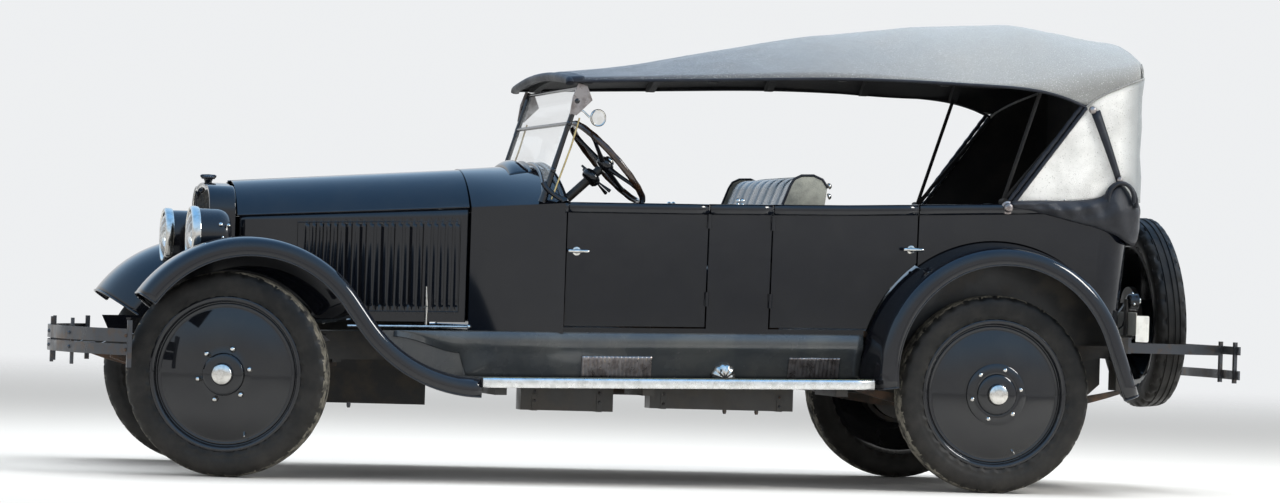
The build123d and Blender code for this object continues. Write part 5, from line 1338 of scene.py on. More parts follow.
def make_windshield():
    posts = []
    for _, side in SIDES:
        points = [S(side * SCREEN_HALF, h) for h in (-24, 0, 60, 130, 260, 400, 470, 500)]
        posts.append((points, [19, 17, 14, 12, 11, 11, 12, 8], 18))
    bars("windshield_posts", posts, LAMP_PAINT, stands_for="windshield_frame", crease=60)
    across = steps(-SCREEN_HALF, SCREEN_HALF, 6)
    rails = [[S(y, h) for y in across] for h in (SCREEN_SPLIT, SCREEN_TOP - 8)]
    tubes("windshield_bars", rails, 8, LAMP_PAINT, sides=14, crease=60)
    low = [S(y, screen_foot(y, 6)) for y in steps(-SCREEN_HALF, SCREEN_HALF, 24)]
    tubes("windshield_foot", [low], 9, LAMP_PAINT, sides=14, crease=60)
    knobs = []
    for side in (-1, 1):
        for h in (120, SCREEN_SPLIT, 430):
            knobs.append((S(side * (SCREEN_HALF + 8), h), 16 if h > 400 else 12, (0, side, 0.1)))
    domes("windshield_knobs", knobs, LAMP_PAINT, crease=60)
    for tag, side in SIDES:
        y = side * (SCREEN_HALF + 12)
        plate = [S(y, 505, 20), S(y, 505, -22), S(y, 455, -62), S(y, 372, -18), S(y, 366, 12),
                 S(y, 440, 24)]
        prisms("windshield_bracket_" + tag, [(plate, Vector((0, side * 0.007, 0)))], KICK, bevel=1.5,
               crease=30)
        arm = [S(y, 372), S(side * (SCREEN_HALF + 4), 340), S(side * SCREEN_HALF, 300)]
        tubes("windshield_arm_" + tag, [arm], [10, 12, 12], LAMP_PAINT, sides=14, crease=60)
        rod = [S(y, 366, -34), S(y + side * 4, 240, -38), S(y + side * 6, 120, -34),
               S(y + side * 8, 0, -30)]
        tubes("windshield_rods_" + tag, [rod], 4.0, BRASS, sides=12)
    eye = S(-SCREEN_HALF - 20, 392, -108)
    stand = Matrix.Translation(eye) @ turned(14, "Z")
    section = [(30, -3), (34, -5), (37, -3), (37, 3), (34, 5), (30, 3)]
    ring("mirror_rim", section, NICKEL, turns=48, place=stand, crease=60)
    lathe("mirror_glass", [(0, 1.5), (32, 1.5), (32, -1.5), (0, -1.5)], MIRROR, turns=40, place=stand,
          crease=30)
    arm = [S(-SCREEN_HALF - 8, 400), S(-SCREEN_HALF - 14, 398, -40), eye + Vector((-0.036, 0, 0.0))]
    tubes("mirror_arm", [arm], [6, 4.5, 4.5], NICKEL, sides=10)
    across = steps(-SCREEN_HALF + 11, SCREEN_HALF - 11, 12)
    panes = []
    for feet, high in (
        ([screen_foot(y, 8) for y in across], SCREEN_SPLIT - 9),
        ([SCREEN_SPLIT + 9] * len(across), SCREEN_TOP - 17),
    ):
        points = [S(y, h) for y, h in zip(across, feet)] + [S(y, high) for y in across]
        panes.append((points, grid_faces(2, len(across))))
    put("windshield_panes", *joined(panes), GLASS, thick=5.0, stands_for="window_glass", crease=30)


def make_cowl_trim():
    half, crease = COWL_REAR[:2]
    rows = []
    for y in steps(-half, half, 36):
        z = cowl_top(BODY_FRONT_D, y)
        slope = -y / half * 0.62
        row = []
        for o, v in ((-16, 0.5), (-11, 5), (-4, 9), (4, 10), (11, 7), (15, 0), (12, -9), (4, -15),
                     (-3, -18)):
            row.append(P(BODY_FRONT_D - 6 + o, y - slope * v, z + v))
        rows.append(row)
    skin("cowl_roll", rows, PAINT, thick=1.5, crease=60)
    for tag, side in SIDES:
        rows = []
        for t in steps(0, 1, 12):
            d = mix(BODY_FRONT_D - 8, BODY_FRONT_D + 5, t)
            z = mix(crease, crease - 1, t)
            rows.append([P(d, side * (half + o), z + v) for o, v in BELT_ROLL])
        skin("cowl_corner_" + tag, rows, PAINT, thick=1.5, crease=60)
        swoop = []
        for t in steps(0, 1, 14):
            d = mix(SCREEN_D - 4, BODY_FRONT_D + 4, t)
            y = mix(SCREEN_HALF, 584, t ** 0.8)
            swoop.append(P(d, side * y,
                           max(cowl_top(min(d, BODY_FRONT_D), y) + 4, mix(1262, 1180, t ** 0.6))))
        tubes("cowl_swoop_" + tag, [swoop], [12] * 4 + [11] * 7 + [9] * 4, PAINT, sides=14, crease=60)
    rows = []
    for t in steps(0, 1, 14):
        d = mix(1215, 1318, t)
        if t < 0.87:
            lift = 26 * math.sin(math.pi * min(1.0, t * 1.15)) ** 0.6
        else:
            lift = 26 * max(0.0, (1 - t) / 0.13) ** 0.5
        row = []
        for y in steps(-250, 250, 26):
            side_fade = (1 - (abs(y) / 250) ** 4) if abs(y) < 250 else 0.0
            row.append(P(d, y, cowl_top(d, y) - 1 + lift * side_fade))
        rows.append(row)
    skin("cowl_vent", rows, PAINT, thick=1.5, crease=60)


make_cowl_trim()
make_windshield()


# Steering wheel and controls

HUB_AT = P(1620, -345, 1360)
COLUMN_RISE = math.radians(43.0)


def wheel_frame():
    """Turns the wheel's own axis, Z, to run along the column."""
    up = Vector((math.cos(COLUMN_RISE), 0, math.sin(COLUMN_RISE)))
    across = Vector((0, 1, 0))
    place = Matrix((across, up.cross(across), up)).transposed().to_4x4()
    place.translation = HUB_AT
    return place


def make_steering():
    place = wheel_frame()
    rows = []
    for i in range(72):
        a = 2 * math.pi * i / 72
        row = []
        for j in range(14):
            b = 2 * math.pi * j / 14
            grip = 13.2 + (1.0 if math.cos(b) > 0.2 else -0.6) * math.cos(i * math.pi / 2) * 0.8
            r = 222 + grip * 0.9 * math.cos(b)
            row.append(Vector((r * math.cos(a), r * math.sin(a), grip * 1.08 * math.sin(b))) / 1000.0)
        rows.append(row)
    skin("steering_rim", rows, RIM_WOOD, closed_row=True, closed_ring=True, place=place,
         body="steering_wheel",
         stands_for="steering_wheel", crease=80)
    spokes = []
    for i in range(4):
        a = math.radians(45 + 90 * i)
        reach = Vector((math.cos(a), math.sin(a), 0)) / 1000.0
        points = [reach * 20 + Vector((0, 0, -0.016)), reach * 90 + Vector((0, 0, -0.010)),
                  reach * 170 + Vector((0, 0, -0.003)), reach * 214]
        spokes.append((points, [13, 9, 8, 11], 12))
    bars("steering_spokes", spokes, LAMP_PAINT, place=place, body="steering_wheel", crease=60)
    boss = [(11, -36), (30, -34), (38, -28), (40, -14), (38, 0), (30, 8), (18, 12), (11, 13)]
    turn = turned(90, "X")
    lathe("steering_boss", boss, LAMP_PAINT, turns=40, place=place @ turn, body="steering_wheel", crease=50)
    cap = [(0, 26), (10, 25), (20, 21), (24, 15), (24, 11), (0, 11)]
    lathe("horn_button", cap, NICKEL, turns=32, place=place @ turn, crease=50)
    quadrant = Matrix.Translation(place.to_3x3() @ Vector((0, 0, -0.092))) @ place
    levers = []
    for angle, length in ((-60, 118), (-118, 104), (20, 96)):
        a = math.radians(angle)
        out = Vector((math.cos(a), math.sin(a), 0)) / 1000.0
        points = [out * 12, out * length * 0.5 + Vector((0, 0, 0.006)),
                  out * length + Vector((0, 0, 0.012))]
        levers.append((points, [6, 4, 8], 10))
    bars("column_levers", levers, LAMP_PAINT, place=quadrant, crease=60)
    clamp = [(19.5, -26), (34, -24), (42, -12), (44, 4), (36, 16), (24, 22), (19.5, 24)]
    lathe("column_head", clamp, LAMP_PAINT, turns=36, place=quadrant @ turn, crease=50)


make_steering()


# Fabric top: roof, quarters with the back curtain, lining, bindings, strap and folded boot

TOP_STATIONS = [      # distance, half width, edge height, crown height
    (1390, 575, 1706, 1742), (1833, 600, 1730, 1810), (2554, 645, 1765, 1953), (3444, 680, 1756, 2044),
    (3925, 690, 1856, 1984),
]
TOP_EDGE = [(1390, 1690), (2000, 1719), (2635, 1746), (3260, 1740), (3440, 1727), (3560, 1700),
            (3650, 1665)]
TOP_FRONT_D = 1390.0
TOP_BACK_D = 3925.0
CORNER_PLAN_R = 66.0
KNEE_D = 3650.0
KNEE_Z = 1665.0
QUARTER_D = 3335.0
PIVOT_D, PIVOT_Z = 3304, 1222      # where the top's irons turn
BOW_MIDDLES = [1390, 1477, 2017, 2577, 3027, 3461, 3925]
CLOTH_SAG = 4.0
LIGHT_HALF = 290.0
LIGHT_LOW = 1470.0
LIGHT_HIGH = 1650.0


def top_at(column, d):
    return smooth_at([(row[0], row[column]) for row in TOP_STATIONS], d)


def shoulder_r(d):
    return mix(15, 46, ease((d - 1500) / 1900))


def seam_z(d):
    """Lower edge of the roof cloth, along the open side and then up the seam to the rear corner."""
    if d <= KNEE_D:
        return smooth_at(TOP_EDGE, d)
    share = min(1.0, (d - KNEE_D) / (TOP_BACK_D - KNEE_D - 10))
    return mix(KNEE_Z, top_at(2, TOP_BACK_D) - shoulder_r(TOP_BACK_D) - 10, share ** 0.72)


def cloth_wave(d, y, z):
    """Small slack in the cloth, in millimetres: long soft folds, strongest near the rear corners."""
    near_rear = ease((d - 3050) / 800)
    fold = math.sin(d * 0.021 + z * 0.017 + y * 0.004) * math.sin(z * 0.011 - d * 0.006)
    fine = math.sin(d * 0.05 + y * 0.013) * math.sin(y * 0.021 - z * 0.03)
    return fold * mix(0.6, 2.6, near_rear) + fine * mix(0.3, 1.0, near_rear)


def plan_half(d):
    """Half width of the top, rounded in plan at its rear corners."""
    half = top_at(1, d)
    past = d - (TOP_BACK_D - CORNER_PLAN_R)
    if past > 0:
        half += math.sqrt(max(0.0, CORNER_PLAN_R ** 2 - past ** 2)) - CORNER_PLAN_R
    return half


def roof_row(d, inset=0.0, lift_low=0.0):
    """Points across the roof at a distance, from its left lower edge over the crown to the right one."""
    half = plan_half(d) - inset
    edge = top_at(2, d) - inset
    crown = top_at(3, d) - inset
    low = seam_z(d) + lift_low
    r = min(shoulder_r(d), max(6.0, (edge - low) * 0.85))
    low = min(low, edge - r - 1)
    span = next(i for i in range(len(BOW_MIDDLES) - 1) if d <= BOW_MIDDLES[i + 1] + 0.5)
    share = (d - BOW_MIDDLES[span]) / (BOW_MIDDLES[span + 1] - BOW_MIDDLES[span])
    slack = CLOTH_SAG * math.sin(math.pi * min(1.0, max(0.0, share)))
    out = [(half, z) for z in steps(low, edge - r, 4)]
    for i in range(1, 6):
        a = math.pi / 2 * i / 5
        y = half - r + r * math.cos(a)
        out.append((y, edge + (crown - edge) * (1 - (y / half) ** 2) - r + r * math.sin(a)))
    for y in steps(half - r, 0, 14)[1:]:
        out.append((y, edge + (crown - edge) * (1 - (y / half) ** 2) - slack * (1 - (y / half) ** 6)))
    left = []
    right = []
    for y, z in out:
        wave = cloth_wave(d, y, z)
        left.append(P(d, -y - (wave if z < edge else 0), z + (wave if z >= edge else 0)))
        right.append(P(d, y + (wave if z < edge else 0), z + (wave if z >= edge else 0)))
    return left + right[-2::-1]


def quarter_path(inset=0.0):
    """Points of d and side along the quarters and back, from the left front edge to the right one."""
    r = CORNER_PLAN_R - inset
    back = TOP_BACK_D - inset
    half = top_at(1, TOP_BACK_D) - inset
    side = []
    for d in steps(QUARTER_D, KNEE_D, 12) + steps(KNEE_D, back - r, 9)[1:]:
        side.append((d, top_at(1, d) - inset))
    for a in steps(0, math.pi / 2, 8)[1:]:
        side.append((back - r + r * math.sin(a), half - r + r * math.cos(a)))
    places = [half - r - 7, half - r - 18, half - r - 32, 560, 500, 430, 360, LIGHT_HALF]
    flat = [(back, y) for y in places + steps(LIGHT_HALF, 0, 5)[1:]]
    left = [(d, -y) for d, y in side + flat]
    return left + [(d, -y) for d, y in reversed(left[:-1])]


def quarter_top(d, y):
    """Upper edge of the quarter and back sheet at a place on its path."""
    if d < KNEE_D:
        return mix(belt_z(QUARTER_D) + 6, KNEE_Z, (d - QUARTER_D) / (KNEE_D - QUARTER_D))
    half, edge, crown = plan_half(TOP_BACK_D), top_at(2, TOP_BACK_D), top_at(3, TOP_BACK_D)
    if abs(y) > half - 1:
        return seam_z(d)
    r = shoulder_r(TOP_BACK_D)
    rounding = max(0.0, abs(y) - (half - r))
    drop = r - math.sqrt(max(0.0, r * r - rounding ** 2))
    return edge + (crown - edge) * (1 - (y / half) ** 2) - drop - 2


def quarter_rows(inset=0.0):
    rows = []
    for d, y in quarter_path(inset):
        low = belt_z(min(d, TOP_BACK_D)) + 4
        top = quarter_top(d, y) - inset
        share = ease((d - (TOP_BACK_D - 80)) / 60)
        levels = []
        for t, fixed in ((0, None), (0.06, None), (0.2, None), (0.33, LIGHT_LOW), (0.42, None), (0.5, None),
                         (0.58, LIGHT_HIGH), (0.72, None), (0.86, None), (0.94, None), (1, None)):
            z = mix(low, top, t)
            if fixed:
                z = mix(z, fixed, share)
            elif share and 0.33 < t < 0.58:
                z = mix(z, mix(LIGHT_LOW, LIGHT_HIGH, (t - 0.33) / 0.25), share)
            levels.append(z)
        row = []
        for z in levels:
            wave = cloth_wave(d, y, z) * 1.6
            reach = math.hypot(d - PIVOT_D, z - PIVOT_Z)
            pull_line = math.atan2(z - PIVOT_Z, d - PIVOT_D)
            wave += 2.4 * math.sin(pull_line * 34 + reach * 0.004) * min(1.0, reach / 420) * (1 - share)
            hollow = 5.0 * math.sin(math.pi * (z - low) / max(60.0, top - low))
            if share > 0.99:
                row.append(P(d - hollow - wave, y, z))
            else:
                pull = (hollow + wave) * min(1.0, (top - low) / 250)
                row.append(P(d, y - math.copysign(pull, y), z))
        rows.append(row)
    return rows


def back_light_hole(rows):
    """Faces of the quarter sheet, without those of the back light."""
    path = quarter_path()
    faces = []
    for face in grid_faces(len(rows), len(rows[0])):
        i, j = face[0] // len(rows[0]), face[0] % len(rows[0])
        in_light = abs(path[i][1]) <= LIGHT_HALF + 0.1 and abs(path[i + 1][1]) <= LIGHT_HALF + 0.1
        if in_light and path[i][0] > TOP_BACK_D - 1 and 3 <= j < 6:
            continue
        faces.append(face)
    return faces


def quarter_sheet(name, rows, material, thick):
    verts = [v for row in rows for v in row]
    return put(name, verts, back_light_hole(rows), material, thick=thick, crease=75)


def make_top():
    places = [TOP_FRONT_D + v for v in (0, 4, 12)] + steps(TOP_FRONT_D + 30, TOP_BACK_D, 66)
    # The roof cloth's colour holds painted sheen; the quarter and back cloth's colour holds painted sun
    # glare and painted shade.
    rows = [roof_row(d) for d in places]
    roof = skin("roof_cloth", rows, TOP_CLOTH_PAINTED_SHEEN, thick=3.0, stands_for="roof_canopy", crease=70)
    curtain = quarter_sheet("quarter_and_back_cloth", quarter_rows(), QUARTER_CLOTH_PAINTED_GLARE, 3.0)
    rows = [roof_row(d, 10.0, 3.0) for d in steps(TOP_FRONT_D + 12, TOP_BACK_D - 14, 40)]
    lining = skin("roof_lining", rows, LINING, thick=2.0, crease=70)
    inner = quarter_sheet("quarter_lining", quarter_rows(9.0), LINING, 2.0)


def make_top_trim():
    front = [v + Vector((0.006, 0, -0.013)) for v in roof_row(TOP_FRONT_D)[5:-5]]
    tubes("roof_front_roll", [front], 19, TOP_EDGE_CLOTH, sides=16, crease=70)
    rows = [roof_row(d, -3.5, -2.0) for d in steps(TOP_FRONT_D, TOP_FRONT_D + 66, 6)]
    skin("roof_front_band", rows, TOP_EDGE_CLOTH, thick=3.0, crease=70)
    for tag, side in SIDES:
        edge = []
        for d in steps(TOP_FRONT_D, KNEE_D, 60):
            edge.append(P(d, side * (top_at(1, d) + 1), seam_z(d) + 1))
        tubes("roof_side_binding_" + tag, [edge], 6.5, TOP_EDGE_CLOTH, sides=10)
        line = [(d, y) for d, y in quarter_path() if y < -570 and d >= KNEE_D]
        seam = [P(d, side * (abs(y) + 2), quarter_top(d, y) + 2) for d, y in line]
        tubes("roof_seam_" + tag, [seam], 4.5, TOP_CLOTH_PAINTED_SHEEN, sides=8)
        hem = []
        fold = []
        for t in steps(0, 1, 24):
            d = mix(QUARTER_D, KNEE_D, t)
            z = mix(belt_z(QUARTER_D) + 6, KNEE_Z, t)
            pucker = 2.2 * math.sin(t * 60)
            hem.append(P(d, side * (top_at(1, d) + 2 + pucker * 0.4), z + pucker * 0.5))
            fold.append(P(d - 20 + pucker * 0.6, side * (top_at(1, d) - 4), z + 6))
        tubes("quarter_hem_" + tag, [hem], 8.0, TOP_EDGE_CLOTH, sides=10)
        tubes("quarter_iron_cover_" + tag, [fold], 9.0, TOP_EDGE_CLOTH, sides=10)
        tacks = []
        for t in steps(0.04, 0.96, 17):
            d = mix(QUARTER_D + 20, TOP_BACK_D - 70, t)
            tacks.append((P(d, side * (top_at(1, d) + 1.5), belt_z(d) + 16 + 3 * math.sin(d)), 4.5,
                          (0, side, 0)))
        domes("quarter_tacks_" + tag, tacks, NICKEL)
        straps = []
        for i, d in enumerate(steps(3690, 3806, 8)):
            t = i / 8
            z = mix(1650, 1352, t)
            wide = mix(21, 13, t)
            y = side * (top_at(1, d) + 7 + 5 * math.sin(math.pi * t))
            along, rise = wide * 0.93, wide * 0.36
            straps.append([P(d - along, y, z - rise), P(d, y + side * 3, z), P(d + along, y, z + rise)])
        skin("quarter_strap_" + tag, straps, TOP_EDGE_CLOTH, thick=4.0, crease=60)
        domes("strap_knuckle_" + tag, [(P(3676, side * 694, 1656), 17, (0, side, 0)),
                                       (P(3806, side * 702, 1360), 13, (0, side, 0))], KICK, crease=60)
        pivot = Matrix.Translation(P(PIVOT_D, side * 700, PIVOT_Z)) @ side_turn(side)
        profile = [(0, -26), (10, -25.5), (17, -22), (20, -15), (20, -6), (28, -3), (28, 2), (0, 2)]
        lathe("top_pivot_" + tag, profile, KICK, turns=40, place=pivot, crease=45)
    frame_line = [P(TOP_BACK_D + 2, y, z) for y, z in (
        (-LIGHT_HALF + 12, LIGHT_LOW), (LIGHT_HALF - 12, LIGHT_LOW), (LIGHT_HALF, LIGHT_LOW + 12),
        (LIGHT_HALF, LIGHT_HIGH - 12), (LIGHT_HALF - 12, LIGHT_HIGH), (-LIGHT_HALF + 12, LIGHT_HIGH),
        (-LIGHT_HALF, LIGHT_HIGH - 12), (-LIGHT_HALF, LIGHT_LOW + 12))]
    tubes("back_light_frame", [frame_line], 8, TOP_EDGE_CLOTH, sides=10, closed=True, crease=60)
    pane = [P(TOP_BACK_D - 6, y, z) for y, z in (
        (-LIGHT_HALF, LIGHT_LOW), (LIGHT_HALF, LIGHT_LOW), (LIGHT_HALF, LIGHT_HIGH),
        (-LIGHT_HALF, LIGHT_HIGH))]
    prisms("back_light_pane", [(pane, Vector((0.004, 0, 0)))], GLASS, stands_for="window_glass", crease=30)


BOOT_LOW = [(3318, 1222), (3450, 1205), (3600, 1172), (3720, 1146), (3800, 1118), (3860, 1088),
            (3925, 1078)]
BOOT_HIGH = [(3318, 1250), (3450, 1258), (3600, 1262), (3720, 1282), (3770, 1318), (3812, 1346),
             (3860, 1322), (3925, 1290)]


def boot_path():
    """Plan of the folded boot round the rear of the body: d, side and outward angle."""
    out = []
    r = CORNER_R - 30
    half = 706.0
    back = BODY_BACK_D + 22
    for d in steps(3318, back - r, 26):
        out.append((d, half, 0.0))
    for a in steps(0, math.pi / 2, 12)[1:]:
        out.append((back - r + r * math.sin(a), half - r + r * math.cos(a), a))
    for y in steps(half - r, 0, 12)[1:]:
        out.append((back, y, math.pi / 2))
    return [(d, -y, a) for d, y, a in out] + [(d, y, a) for d, y, a in reversed(out[:-1])]


def make_boot():
    rows = []
    for number, (d, y, a) in enumerate(boot_path()):
        low = smooth_at(BOOT_LOW, d)
        high = smooth_at(BOOT_HIGH, d) if abs(y) > 560 else mix(1290, 1300, ease((560 - abs(y)) / 300))
        away = Vector((math.sin(a), math.copysign(math.cos(a), y), 0))
        tall = high - low
        row = []
        for t in steps(0, 1, 14):
            z = mix(low, high, t)
            bulge = math.sin(math.pi * min(1.0, t * 1.02)) ** 0.7 * min(20.0, 5 + tall * 0.085)
            fold = math.sin(number * 1.15 + t * 5.0) * 5.0 + math.sin(number * 0.43 - t * 9.0) * 4.0
            fold *= math.sin(math.pi * t) * min(1.0, tall / 90)
            back = -10 * t ** 6 - 4 * (1 - t) ** 4
            row.append(P(d, y, z) + away * (bulge + fold + back) / 1000.0)
        rows.append(row)
    boot = skin("top_boot", rows, BOOT_CLOTH, thick=3.0, crease=80)
    loops = []
    for side in (-1, 1):
        for lift, reach in ((0, 0), (20, 14)):
            loop = []
            for a in steps(0, math.pi, 12):
                loop.append(P(3812 - (58 + reach) * math.cos(a), side * (712 - lift * 0.3),
                              1262 + (84 + lift) * math.sin(a) ** 0.8 - lift))
            loops.append(loop)
    tubes("boot_folds", loops, 9, BOOT_CLOTH, sides=10, crease=70)


make_top()
make_top_trim()
make_boot()


# Seats: each pad is swelled by a pressure simulation, then given its sewn channels

SEAT_HALF_FRONT = 528.0
SEAT_HALF_REAR = 578.0
PAD_CAP = 0.014            # metres that a pad may swell
PRESSURE = 4.0
PRESSURE_FRAMES = 20
CHANNEL_PITCH = 135.0
CHANNEL_DEPTH = 7.0


def rk(d, z):
    """A side point given at the frame's height, lifted with the frame."""
    return (d, z + RAKE * d)


def pad_mesh(name, outline, half, voxel):
    """A closed pad through a side outline, remeshed so that it can swell."""
    verts, faces = prism_parts(*side_plate(outline, -half, half))
    mesh = bpy.data.meshes.new(name)
    mesh.from_pydata([tuple(v) for v in verts], [], faces)
    piece = bpy.data.objects.new(name, mesh)
    scene.collection.objects.link(piece)
    round_off = piece.modifiers.new("rounding", "BEVEL")
    round_off.width = 0.018
    round_off.segments = 3
    fine = piece.modifiers.new("remesh", "REMESH")
    fine.mode = "VOXEL"
    fine.voxel_size = voxel
    piece.data = bpy.data.meshes.new_from_object(piece.evaluated_get(bpy.context.evaluated_depsgraph_get()))
    piece.modifiers.clear()
    return piece


def swell(piece):
    """Swells a pad with cloth pressure, no point moving further than the cap, and applies the result."""
    cloth = piece.modifiers.new("pressure", "CLOTH")
    cloth.settings.quality = 5
    cloth.settings.use_pressure = True
    cloth.settings.uniform_pressure_force = PRESSURE
    cloth.settings.effector_weights.gravity = 0.0
    cloth.point_cache.frame_start = 1
    cloth.point_cache.frame_end = PRESSURE_FRAMES
    rest = [v.co.copy() for v in piece.data.vertices]
    for frame in range(1, PRESSURE_FRAMES + 1):
        scene.frame_set(frame)
    grown = bpy.data.meshes.new_from_object(piece.evaluated_get(bpy.context.evaluated_depsgraph_get()))
    for vert, at in zip(grown.vertices, rest):
        move = vert.co - at
        if move.length > PAD_CAP:
            vert.co = at + move * (PAD_CAP / move.length)
    piece.modifiers.remove(cloth)
    piece.data = grown
    scene.frame_set(1)


def sew_channels(piece, half, toward):
    """Presses sewn channels into the face of a pad that looks a given way."""
    mesh = piece.data
    count = max(1, round(2 * half / CHANNEL_PITCH))
    step = 2 * half / count
    normals = [v.normal.copy() for v in mesh.vertices]
    for vert, normal in zip(mesh.vertices, normals):
        facing = ease((normal.dot(toward) - 0.1) / 0.5)
        line = (vert.co.y * 1000 + half) / step
        near = abs(line - round(line)) * step
        groove = math.exp(-((near / 9.0) ** 2))
        hump = math.cos(math.pi * near / (step / 2)) * -0.5 + 0.5
        press = (groove * CHANNEL_DEPTH - hump * 2.5) * facing
        vert.co -= normal * press / 1000.0


def pad(name, outline, half, voxel, toward, stands_for=""):
    """A sprung leather pad, swelled and sewn, that rides on the chassis."""
    piece = pad_mesh(name, outline, half, voxel)
    swell(piece)
    sew_channels(piece, half, toward)
    fine = piece.modifiers.new("smooth", "SUBSURF")
    fine.levels = 1
    fine.render_levels = 1
    piece.data.shade_smooth()
    piece.data.materials.clear()
    piece.data.materials.append(SEAT_LEATHER)
    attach(piece, "chassis")
    if stands_for:
        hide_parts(stands_for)
    return piece


def make_seats():
    up = Vector((0, 0, 1))
    lean = Vector((-0.93, 0, 0.36))
    back = [(2264, 958), (2396, 1290), (2412, 1312), (2440, 1323), (2480, 1324), (2512, 1310), (2526, 1280),
            (2512, 1230), (2372, 958)]
    pad("front_seat_back", back, SEAT_HALF_FRONT - 8, 0.013, lean,
        stands_for="front_seat")
    cushion = [rk(1775, 832), (1772, 925), (2225, 906), (2248, 880), rk(2300, 812)]
    pad("front_seat_cushion", cushion, SEAT_HALF_FRONT - 8, 0.014, up)
    back = [(3440, 962), (3560, 1252), (3585, 1264), (3640, 1266), (3660, 1235), (3560, 962)]
    pad("rear_seat_back", back, SEAT_HALF_REAR - 8, 0.014, lean, stands_for="rear_seat")
    cushion = [rk(2945, 812), (2942, 925), (3410, 906), (3436, 880), rk(3480, 800)]
    pad("rear_seat_cushion", cushion, SEAT_HALF_REAR - 8, 0.014, up)
    boxes = []
    for d0, d1, low, high, half in ((1764, 2330, 761, 826, 536), (2934, 3536, 741, 806, 586)):
        outline = [rk(d0, low), rk(d1, low), (d1 - 20, rk(d1, high)[1]), (d0 + 4, rk(d0, high)[1])]
        boxes.append(side_plate(outline, -half, half))
    prisms("seat_boxes", boxes, TRIM, bevel=4, crease=30)
    rows = []
    profile = [(2500, 1333), (2528, 1318), (2548, 1292), (2551, 1276), (2545, 1230), (2500, 984),
               (2440, 860),
               (2345, 812)]
    for y in steps(-SEAT_HALF_FRONT - 8, SEAT_HALF_FRONT + 8, 30):
        inside = 1 - (abs(y) / (SEAT_HALF_FRONT + 8)) ** 8
        rows.append([P(d - 14 * (1 - inside), y, z - 12 * (1 - inside)) for d, z in profile])
    skin("front_seat_shell", rows, SEAT_PANEL, thick=7.0, centred=False, crease=50)
    sides = []
    for side in (-1, 1):
        y = side * (SEAT_HALF_FRONT + 1)
        outline = [P(d, y, z) for d, z in (
            rk(2330, 770), (2252, 880), (2252, 950), (2386, 1290), (2402, 1314), (2432, 1328), (2484, 1330),
            (2522, 1314), (2546, 1280), (2540, 1226), (2498, 990), (2430, 858))]
        sides.append((outline, Vector((0, side * 0.007, 0))))
    prisms("front_seat_sides", sides, SEAT_PANEL, bevel=2, crease=30)
    piping = []
    for side in (-1, 1):
        piping.append([P(d, side * (SEAT_HALF_FRONT + 6), z) for d, z in (
            (2250, 950), (2384, 1290), (2400, 1316), (2431, 1331), (2484, 1333), (2524, 1317),
            (2549, 1282))])
    tubes("front_seat_piping", piping, 6, TOP_EDGE_CLOTH, sides=10)
    tubes("robe_rail", [[P(2536, -400, 1150), P(2566, -392, 1158), P(2572, -360, 1160), P(2572, 360, 1160),
                         P(2566, 392, 1158), P(2536, 400, 1150)]], 8, NICKEL, sides=12)
    domes("front_seat_knobs", [(P(2560, -505, z), 14, (0.8, 0, 0.3)) for z in (1290, 1246)], NICKEL)


make_seats()


# Rear lamp and plate, bumper bolts, springs, cabin controls and small hardware

FACE_BACK = turned(-90, "Z")
PLATE_D = 3928.5
FRONT_BOW = (700, 790, 240)      # reach from the axle, half width and bow of a bumper bar
REAR_BOW = (1170, 760, 60)
FRONT_SPRING = (-480, 480, 470, 470, 415, 360)      # both eyes' places and heights, middle height, side
REAR_SPRING = (2620, 452, 3885, 440, 355, 530)


def bow_d(reach, half, bow, y):
    """How far a bowed bumper bar lies from its axle at a place across the car."""
    radius = (half * half + bow * bow) / (2 * bow)
    return reach - (radius - math.sqrt(radius * radius - y * y))


def make_rear_lamp():
    place = Matrix.Translation(P(3926, -500, 835)) @ FACE_BACK
    body = [(0, 0), (24, 0), (32, 5), (35.5, 14), (35.5, 38), (37, 40), (37, 45), (32, 47), (31, 44),
            (0, 44)]
    lathe("tail_lamp_body", body, LAMP_PAINT, turns=48, place=place, stands_for="tail_lamp", crease=40)
    lens = [(0, 52), (14, 51), (26, 48.5), (31, 45), (0, 44.5)]
    lathe("tail_lamp_lens", lens, RED_LENS, turns=48, place=place, crease=50)
    domes("tail_lamp_sparks", [(P(3950, -500, 871), 7, (0, 0, 1)), (P(3972, -538, 835), 5, (0, -1, 0))],
          NICKEL)
    outline = []
    for y, z, start in ((-390, 780, 0), (-610, 780, 90), (-610, 700, 180), (-390, 700, 270)):
        outline += [P(PLATE_D, *at) for at in arc((y, z), 10, start, start + 90, 4)]
    prisms("blank_plate", [(outline, Vector((0.0025, 0, 0)))], PLATE, bevel=0.8, crease=30)
    bead = [v + Vector((0.0025, 0, 0)) + (P(PLATE_D, -500, 740) - v) * 0.035 for v in outline]
    tubes("blank_plate_bead", [bead], 2.0, PLATE, sides=8, closed=True)
    domes("blank_plate_bolts", [(P(3931, y, 768), 5, (1, 0, 0)) for y in (-590, -410)], NICKEL)
    prisms("tail_lamp_arm", [brick(3918, 3928, -516, -484, 690, 848)], CHASSIS, bevel=2, crease=30)
    # A white cheek beside the plate; its white is painted sunlight on the bracket's side.
    cheek = [side_plate([(3930, 662), (3986, 662), (3990, 668), (3990, 770), (3986, 776), (3930, 776)],
                        -616, -610)]
    prisms("plate_cheek_painted_sunlight", cheek, CHEEK_PAINTED_SUNLIGHT, bevel=1.5, crease=30)
    domes("tail_lamp_knobs", [(P(3946, -537, 826), 6, (0, -1, 0)), (P(3974, -532, 846), 6, (0.3, -1, 0))],
          NICKEL)
    tubes("tail_lamp_wire",
          [[P(3930, -488, 828), P(3938, -470, 790), P(3922, -462, 730), P(3890, -452, 700)]], 3.5,
          RUBBER, sides=8)


